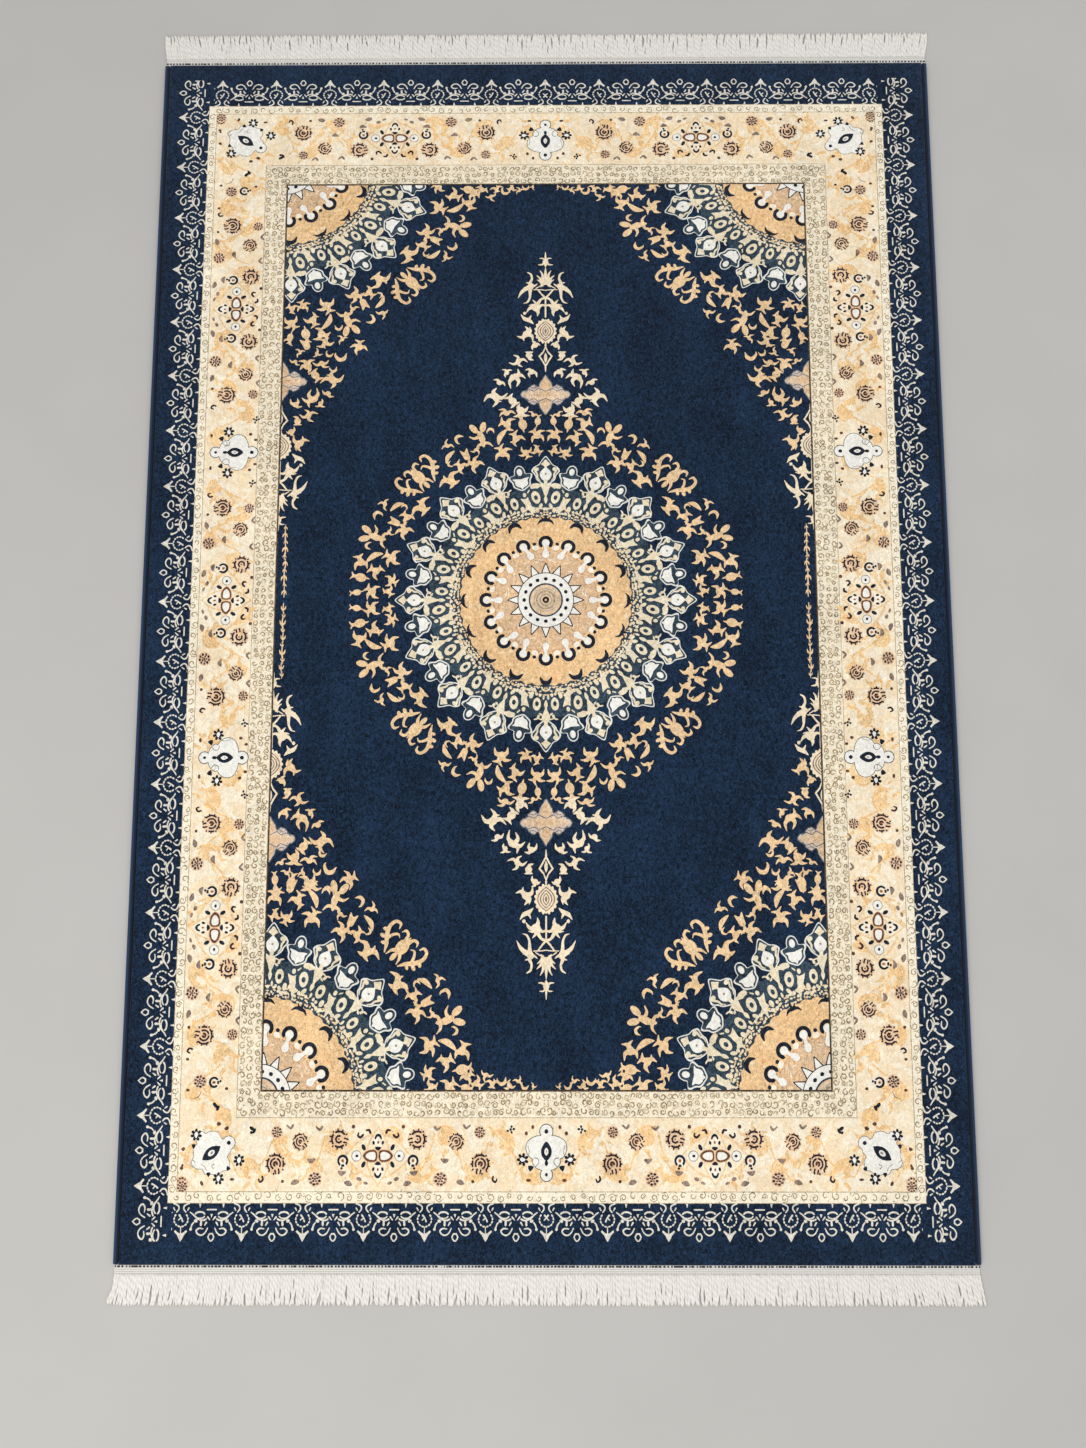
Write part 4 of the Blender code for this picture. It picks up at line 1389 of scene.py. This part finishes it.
inField, inGuard, inBorder = within("field"), within("innerGuard"), within("outerGuard")
brightness = np.array(list(tones.values())).mean(1)
toneDepth = 1 - (1 - pileLook["lightTones"]) * np.clip((brightness - 45) / 190, 0, 1)
toneColours = np.column_stack([linear(list(tones.values())), toneDepth])
washed = {                    # how far the soft scrolls show on a tone
    "ground": 0.5, "peach": 0.25, "pale": 0.3, "scroll": 0.4, "peachSoft": 0.5, "peachLight": 0.3,
    "peachDark": 0.3, "sand": 0.4, "sandDark": 0.3, "pinkish": 0.4, "guard": 0.15, "edge": 0.1,
    "cream": 0.25, "leaf": 0.25, "leafPale": 0.15, "blush": 0.2,
}
toneSoft = np.array([washed.get(tone, 0.0) for tone in tones])
pileMaterial = velvet()
pilePieces = []
atLeft = middles[:, 0] < 0
parts = {
    "pileFieldLeft": inField & atLeft, "pileFieldRight": inField & ~atLeft, "pileGuard": inGuard & ~inField,
    "pileBorderLeft": inBorder & ~inGuard & atLeft, "pileBorderRight": inBorder & ~inGuard & ~atLeft,
    "pileEdge": ~inBorder,
}
for name, chosen in parts.items():
    used, faces = np.unique(allTris[chosen], return_inverse=True)
    faces = faces.reshape(-1, 3)
    chosenTones = allTones[chosen]
    pilePieces.append(makePile(name, pilePoints[used], faces, pileMaterial, toneColours[chosenTones],
                               toneSoft[chosenTones]))
    print("pile:", name, "triangles", len(faces))


# back: one closed slab, its outline carried round with softened edges

# The outline is carried up through the insets, and each end closes on one point in the middle.
def makeBack(material):
    x, y, top = halfX - 0.15, halfY - 0.1, rug["backTop"]
    insets = np.array([(0.8, 0.02), (0.3, 0.1), (0.0, 0.6), (0.0, top - 0.6), (0.3, top - 0.1), (0.9, top)])
    along = np.linspace(-1, 1, 61)
    side = np.stack([along, np.ones(61)], 1)[:-1]
    ring = np.vstack([side @ np.array([[cos(a), sin(a)], [-sin(a), cos(a)]])
                      for a in (0, -pi / 2, -pi, -3 * pi / 2)])
    rings = [np.column_stack([ring * (x - inset, y - inset), np.full(len(ring), z)]) for inset, z in insets]
    points = np.concatenate(rings)
    count = len(ring)
    faces = gridFaces(len(insets), count, closeColumns=True)
    mids = np.array([[0, 0, insets[0][1]], [0, 0, insets[-1][1]]])
    k = np.arange(count)
    after, last = (k + 1) % count, len(points) - count
    low = np.stack([np.full(count, len(points)), after, k], 1)
    high = np.stack([np.full(count, len(points) + 1), last + k, last + after], 1)
    faces = faces.tolist() + low.tolist() + high.tolist()
    return outward(makeMesh("rugBase", np.vstack([points, mids]), faces, material, smooth=False))


rugBase = makeBack(backCloth())
print("back: done")


# overcast edges

edge = {
    "pitch": 3.2,             # mm from one wrapped turn to the next
    "ridge": 0.32,            # mm a turn stands proud
    "lean": 1.3,              # mm a turn leans along the edge from one side to the other
    "samples": 4,             # sections to a turn
    "around": 10,
    "halfWide": 3.65, "halfTall": 3.5,
    "middle": (4.0, 3.85),    # mm in from the rug's side and up from the floor
    "squareness": 0.72,       # 1 is an ellipse, less is squarer
}


# A rounded flat section (half width a, half height b, superellipse) carried along y; its radius swells with
# the size of the sine of the length over the pitch, leaning with the angle round the section.
def makeEdge(name, side, material):
    turns = int(rug["length"] / edge["pitch"])
    rows = turns * edge["samples"] + 1
    y = np.linspace(-halfY + 0.3, halfY - 0.3, rows)[:, None]
    a = np.linspace(0, 2 * pi, edge["around"], endpoint=False)[None, :]
    wave = np.abs(np.sin(pi * (y + edge["lean"] * np.cos(a)) / edge["pitch"])) ** 0.6
    closing = np.clip((halfY - np.abs(y)) / 1.5, 0.25, 1) ** 0.5
    cx = np.sign(np.cos(a)) * np.abs(np.cos(a)) ** edge["squareness"]
    cz = np.sign(np.sin(a)) * np.abs(np.sin(a)) ** edge["squareness"]
    swell = edge["ridge"] * (wave - 0.5)
    midX, midZ = side * (rug["width"] / 2 - edge["middle"][0]), edge["middle"][1]
    x = midX + side * cx * (edge["halfWide"] * closing + swell)
    z = midZ + cz * (edge["halfTall"] * closing + swell)
    points = np.stack([x, np.broadcast_to(y, x.shape), z], -1).reshape(-1, 3)
    ends = np.array([[midX, 0.2 - halfY, midZ], [midX, halfY - 0.2, midZ]])
    count, k = edge["around"], np.arange(edge["around"])
    after, last = (k + 1) % count, len(points) - count
    faces = gridFaces(rows, count, closeColumns=True).tolist()
    faces += np.stack([np.full(count, len(points)), k, after], 1).tolist()
    faces += np.stack([np.full(count, len(points) + 1), last + after, last + k], 1).tolist()
    # Painted shade, darkest in the grooves between the wrapped turns and at both closed ends.
    groove = np.append((1 - wave).reshape(-1) ** 2, [1, 1])
    return outward(makeMesh(name, np.vstack([points, ends]), faces, material, groove=groove))


edgeMaterial = edgeYarn()
edgePieces = [makeEdge("edgeLeft", -1, edgeMaterial), makeEdge("edgeRight", 1, edgeMaterial)]
print("edges: done")


# fringes

fringe = {
    "strands": 326,
    "reach": 55.0,            # mm from the pile's end to the longest tip
    "header": 14.0,           # mm of woven header
    "inset": 1.5,
    "halfWidth": 2.4, "halfHeight": 1.2,
    "sections": 11, "around": 7,
    "twist": 0.35,            # radians of twist to a millimetre
    "swell": 0.1,
    "lock": (3, 9),           # strands that lean together
    "lean": 1.0, "gather": 0.03, "stray": 0.65, "sway": 1.4, "splay": 8.0, "trim": 2.4,
    "loose": 120,             # thinner stray yarns on top
    "lift": 1.4,              # mm from the floor to the middle of a strand
    "looseWidth": 1.3, "looseHeight": 0.7, "looseLift": 2.3,    # the same of the stray yarns
}


# Strands lean in locks: each lock has one lean, and draws its strands in towards its own middle.
def lockLeans(x0, seeds):
    sizes = seeds.integers(fringe["lock"][0], fringe["lock"][1], len(x0))
    lock = np.repeat(np.arange(len(x0)), sizes)[:len(x0)]
    lean = seeds.normal(0, 0.5, len(x0))[lock] * fringe["lean"]
    middle = np.bincount(lock, x0) / np.maximum(np.bincount(lock), 1)
    return lean + (middle[lock] - x0) * fringe["gather"] + seeds.normal(0, fringe["stray"], len(x0))


# Strands as twisted yarns: a flattened section whose radius swells twice round it and turns along its length,
# carried along a path that leans with its lock, sways with a sine and spreads with the cube of its place.
def strandPoints(x0, length, lean, phase, halfWide, halfTall, height, seeds, around):
    count = len(x0)
    t = np.linspace(0, 1, fringe["sections"])[None, :, None]
    a = np.linspace(0, 2 * pi, around, endpoint=False)[None, None, :]
    sway = seeds.normal(0, 1, (count, 1, 1)) * np.sin(2.0 * pi * t + phase[:, None, None]) * t
    across = (x0 / 600)[:, None, None]
    middle = x0[:, None, None] + fringe["splay"] * across ** 3 * t ** 1.1 + fringe["sway"] * sway
    middle = middle + lean[:, None, None] * t ** 1.3
    y = fringe["header"] - 1.5 + (length[:, None, None] - fringe["header"] + 1.5) * t
    taper = np.clip((1.04 - t) / 0.1, 0.45, 1) ** 0.6 * (1 - 0.06 * t)
    turn = a - fringe["twist"] * (y + phase[:, None, None] * 7)
    swell = 1 + fringe["swell"] * np.cos(2 * turn)
    x = middle + halfWide * taper * swell * np.cos(a)
    z = height[:, None, None] + halfTall * taper * swell * np.sin(a)
    z = np.maximum(z, 0.05)
    # Painted shade in the twist grooves of each strand.
    groove = np.clip(0.5 - 0.5 * np.cos(2 * turn), 0, 1) ** 2 * 0.5
    return np.stack([x, np.broadcast_to(y, x.shape), z], -1), groove


# Quads round each tube and a fan at both of its ends, for many tubes of one size at once.
def tubes(points, groove):
    count, rows, around = points.shape[:3]
    first = (np.arange(count) * rows * around)[:, None]
    faces = (gridFaces(rows, around, closeColumns=True)[None] + first[..., None]).reshape(-1, 4)
    k = np.arange(around)
    after, last = (k + 1) % around, first + (rows - 1) * around
    tips = count * rows * around + np.arange(count)[:, None] + 0 * k
    caps = np.stack([last + k, last + after, tips], -1).reshape(-1, 3)
    backs = np.stack([first + after, first + k, tips + count], -1).reshape(-1, 3)
    allPoints = np.vstack([points.reshape(-1, 3), points[:, -1].mean(1), points[:, 0].mean(1)])
    allGrooveShade = np.concatenate([groove.reshape(-1), np.zeros(2 * count)])
    return allPoints, faces.tolist() + caps.tolist() + backs.tolist(), allGrooveShade


# Header: a closed band whose top rises in woven ridges along its length and, lower, in a row of knots, the
# size of the sine of x over the strand pitch. Adding 0 * x spreads a row over the whole grid.
def headerPoints():
    halfWide = rug["width"] / 2 - fringe["inset"]
    pitch = 2 * halfWide / fringe["strands"]
    x = np.linspace(-halfWide, halfWide, fringe["strands"] * 3 + 1)[:, None]
    top = np.linspace(0, 1, 16)[None, :]
    depth = top * (fringe["header"] + 0.8)
    knots = np.abs(np.sin(pi * x / pitch)) ** 0.5
    ridges = 0.5 + 0.5 * np.cos(2 * pi * depth / 2.95)
    wander = 0.12 * np.sin(x * 0.61) + 0.1 * np.sin(x * 0.23 + 1.7)
    z = 2.1 + 0.22 * knots * top ** 2 + 0.32 * ridges + wander * 0.6
    z = z * np.clip((1.03 - top) / 0.1, 0.12, 1) ** 0.5 * np.clip((top + 0.02) / 0.05, 0.5, 1) ** 0.5
    y = depth + 0.4 * knots * top ** 4 + 0 * x
    # Painted shade between the knots and in the hollows between the woven ridges.
    groove = np.clip(1 - knots, 0, 1) * 0.5 * top ** 2 + 0.3 * (1 - ridges)
    bottomY = np.array([[fringe["header"] + 0.4, fringe["header"] * 0.5, 0.2]]) + 0 * x
    bottomZ = np.array([[0.06, 0.05, 0.06]]) + 0 * x
    pts = np.stack([np.concatenate([x + 0 * y, x + 0 * bottomY], 1), np.concatenate([y, bottomY], 1),
                    np.concatenate([z, bottomZ], 1)], -1)
    return pts, np.concatenate([groove, 0 * bottomY], 1)


# Strands stand at an even pitch with a random length, phase and height, stray yarns lie over them,
# and the header is in the same mesh.
def makeFringe(name, end, seed, material):
    seeds = np.random.default_rng(seed)
    halfWide = rug["width"] / 2 - fringe["inset"]
    pitch = 2 * halfWide / fringe["strands"]
    x0 = -halfWide + pitch * (np.arange(fringe["strands"]) + 0.5)
    length = fringe["reach"] - seeds.uniform(0, 1, len(x0)) ** 1.6 * fringe["trim"]
    phase = seeds.uniform(0, 2 * pi, len(x0))
    height = np.full(len(x0), fringe["lift"]) + seeds.uniform(-0.1, 0.35, len(x0))
    lean = lockLeans(x0, seeds)
    main = tubes(*strandPoints(x0, length, lean, phase, fringe["halfWidth"], fringe["halfHeight"], height,
                               seeds, fringe["around"]))
    strayX = seeds.uniform(-halfWide + 8, halfWide - 8, fringe["loose"])
    strayLength = fringe["reach"] - seeds.uniform(0, 16, fringe["loose"])
    strayLean = seeds.normal(0, 3.0, fringe["loose"])
    strayPhase = seeds.uniform(0, 6, fringe["loose"])
    strayHeight = np.full(fringe["loose"], fringe["looseLift"])
    stray = tubes(*strandPoints(strayX, strayLength, strayLean, strayPhase, fringe["looseWidth"],
                                fringe["looseHeight"], strayHeight, seeds, 5))
    header, headerGrooveShade = headerPoints()
    rows, columns = header.shape[:2]
    headerFaces = gridFaces(rows, columns, closeColumns=True).tolist()
    caps = [list(range(columns)), list(range((rows - 1) * columns, rows * columns))[::-1]]
    points, faces, groove = [], [], []
    for pts, fcs, grv in (main, stray, (header.reshape(-1, 3), headerFaces + caps, headerGrooveShade.reshape(-1))):
        start = sum(map(len, points))
        faces += [[start + k for k in face] for face in fcs]
        points.append(pts)
        groove.append(grv)
    points = np.vstack(points)
    points[:, 1] += halfY + 0.3
    if end < 0:
        points[:, :2] *= -1
    ofHeader = np.arange(len(points)) >= len(points) - rows * columns
    print("fringe:", name, "faces", len(faces))
    return outward(makeMesh(name, points, faces, material, groove=np.concatenate(groove), header=ofHeader))


fringeMaterial = fringeYarn()
fringePieces = [makeFringe("fringeFar", 1, 3, fringeMaterial),
                makeFringe("fringeNear", -1, 8, fringeMaterial)]


# floor, light and camera

studio = {
    "position": (0.003, -0.350, 1.643), "turn": (7.05, 0.26, -0.04),
    "lens": 28.06, "sensor": 36.0,
    "sky": (0.86, 0.88, 0.92), "skyStrength": 0.75,
    "key": {"place": (-1.1, -1.7, 2.5), "size": 2.4, "power": 36.0, "colour": (1.0, 0.985, 0.96)},
    "fill": {"place": (1.6, 1.0, 2.5), "size": 2.8, "power": 14.0, "colour": (0.95, 0.97, 1.0)},
}

floorMesh = bpy.data.meshes.new("floor")
floorMesh.from_pydata([(-40, -40, 0), (40, -40, 0), (40, 40, 0), (-40, 40, 0)], [], [(0, 1, 2, 3)])
floorMesh.materials.append(paleFloor())
floor = bpy.data.objects.new("floor", floorMesh)
bpy.context.scene.collection.objects.link(floor)
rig.stage(floor)

for name in ("key", "fill"):
    recipe = studio[name]
    data = bpy.data.lights.new(name, "AREA")
    data.shape, data.size = "DISK", recipe["size"]
    data.energy, data.color = recipe["power"], recipe["colour"]
    lamp = bpy.data.objects.new(name, data)
    lamp.location = recipe["place"]
    aim = -np.array(recipe["place"])
    lamp.rotation_euler = (np.arctan2(np.hypot(aim[0], aim[1]), -aim[2]), 0, np.arctan2(aim[0], -aim[1]) + pi)
    bpy.context.scene.collection.objects.link(lamp)

world = bpy.data.worlds.new("studioSky")
world.use_nodes = True
world.node_tree.nodes["Background"].inputs[0].default_value = (*studio["sky"], 1)
world.node_tree.nodes["Background"].inputs[1].default_value = studio["skyStrength"]
bpy.context.scene.world = world
bpy.context.scene.view_settings.view_transform = "Standard"

cameraData = bpy.data.cameras.new("camera")
cameraData.sensor_fit, cameraData.sensor_width, cameraData.lens = "AUTO", studio["sensor"], studio["lens"]
camera = bpy.data.objects.new("camera", cameraData)
camera.location = studio["position"]
camera.rotation_euler = [radians(a) for a in studio["turn"]]
bpy.context.scene.collection.objects.link(camera)
bpy.context.scene.camera = camera


# what each piece stands for

for piece in [rugBase, *pilePieces, *edgePieces, *fringePieces]:
    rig.ride(piece, "root")
for piece in [rugBase, *pilePieces]:
    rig.slot(piece, "pile")
for piece in edgePieces:
    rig.slot(piece, "binding")
for piece in fringePieces:
    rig.slot(piece, "fringe")
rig.replaces(rugBase, "rug_body")
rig.replaces(edgePieces[0], "binding_left")
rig.replaces(edgePieces[1], "binding_right")
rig.replaces(fringePieces[0], "fringe_far")
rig.replaces(fringePieces[1], "fringe_near")
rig.sheet(rugBase, flat=(1.2, 1.8), held="laid", with_pieces=[*pilePieces, *edgePieces, *fringePieces])

json.dump({"packed": packedBox, "visual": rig.bounds()}, open("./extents.json", "w"),
          default=lambda v: np.asarray(v).tolist())
print("scene: done")
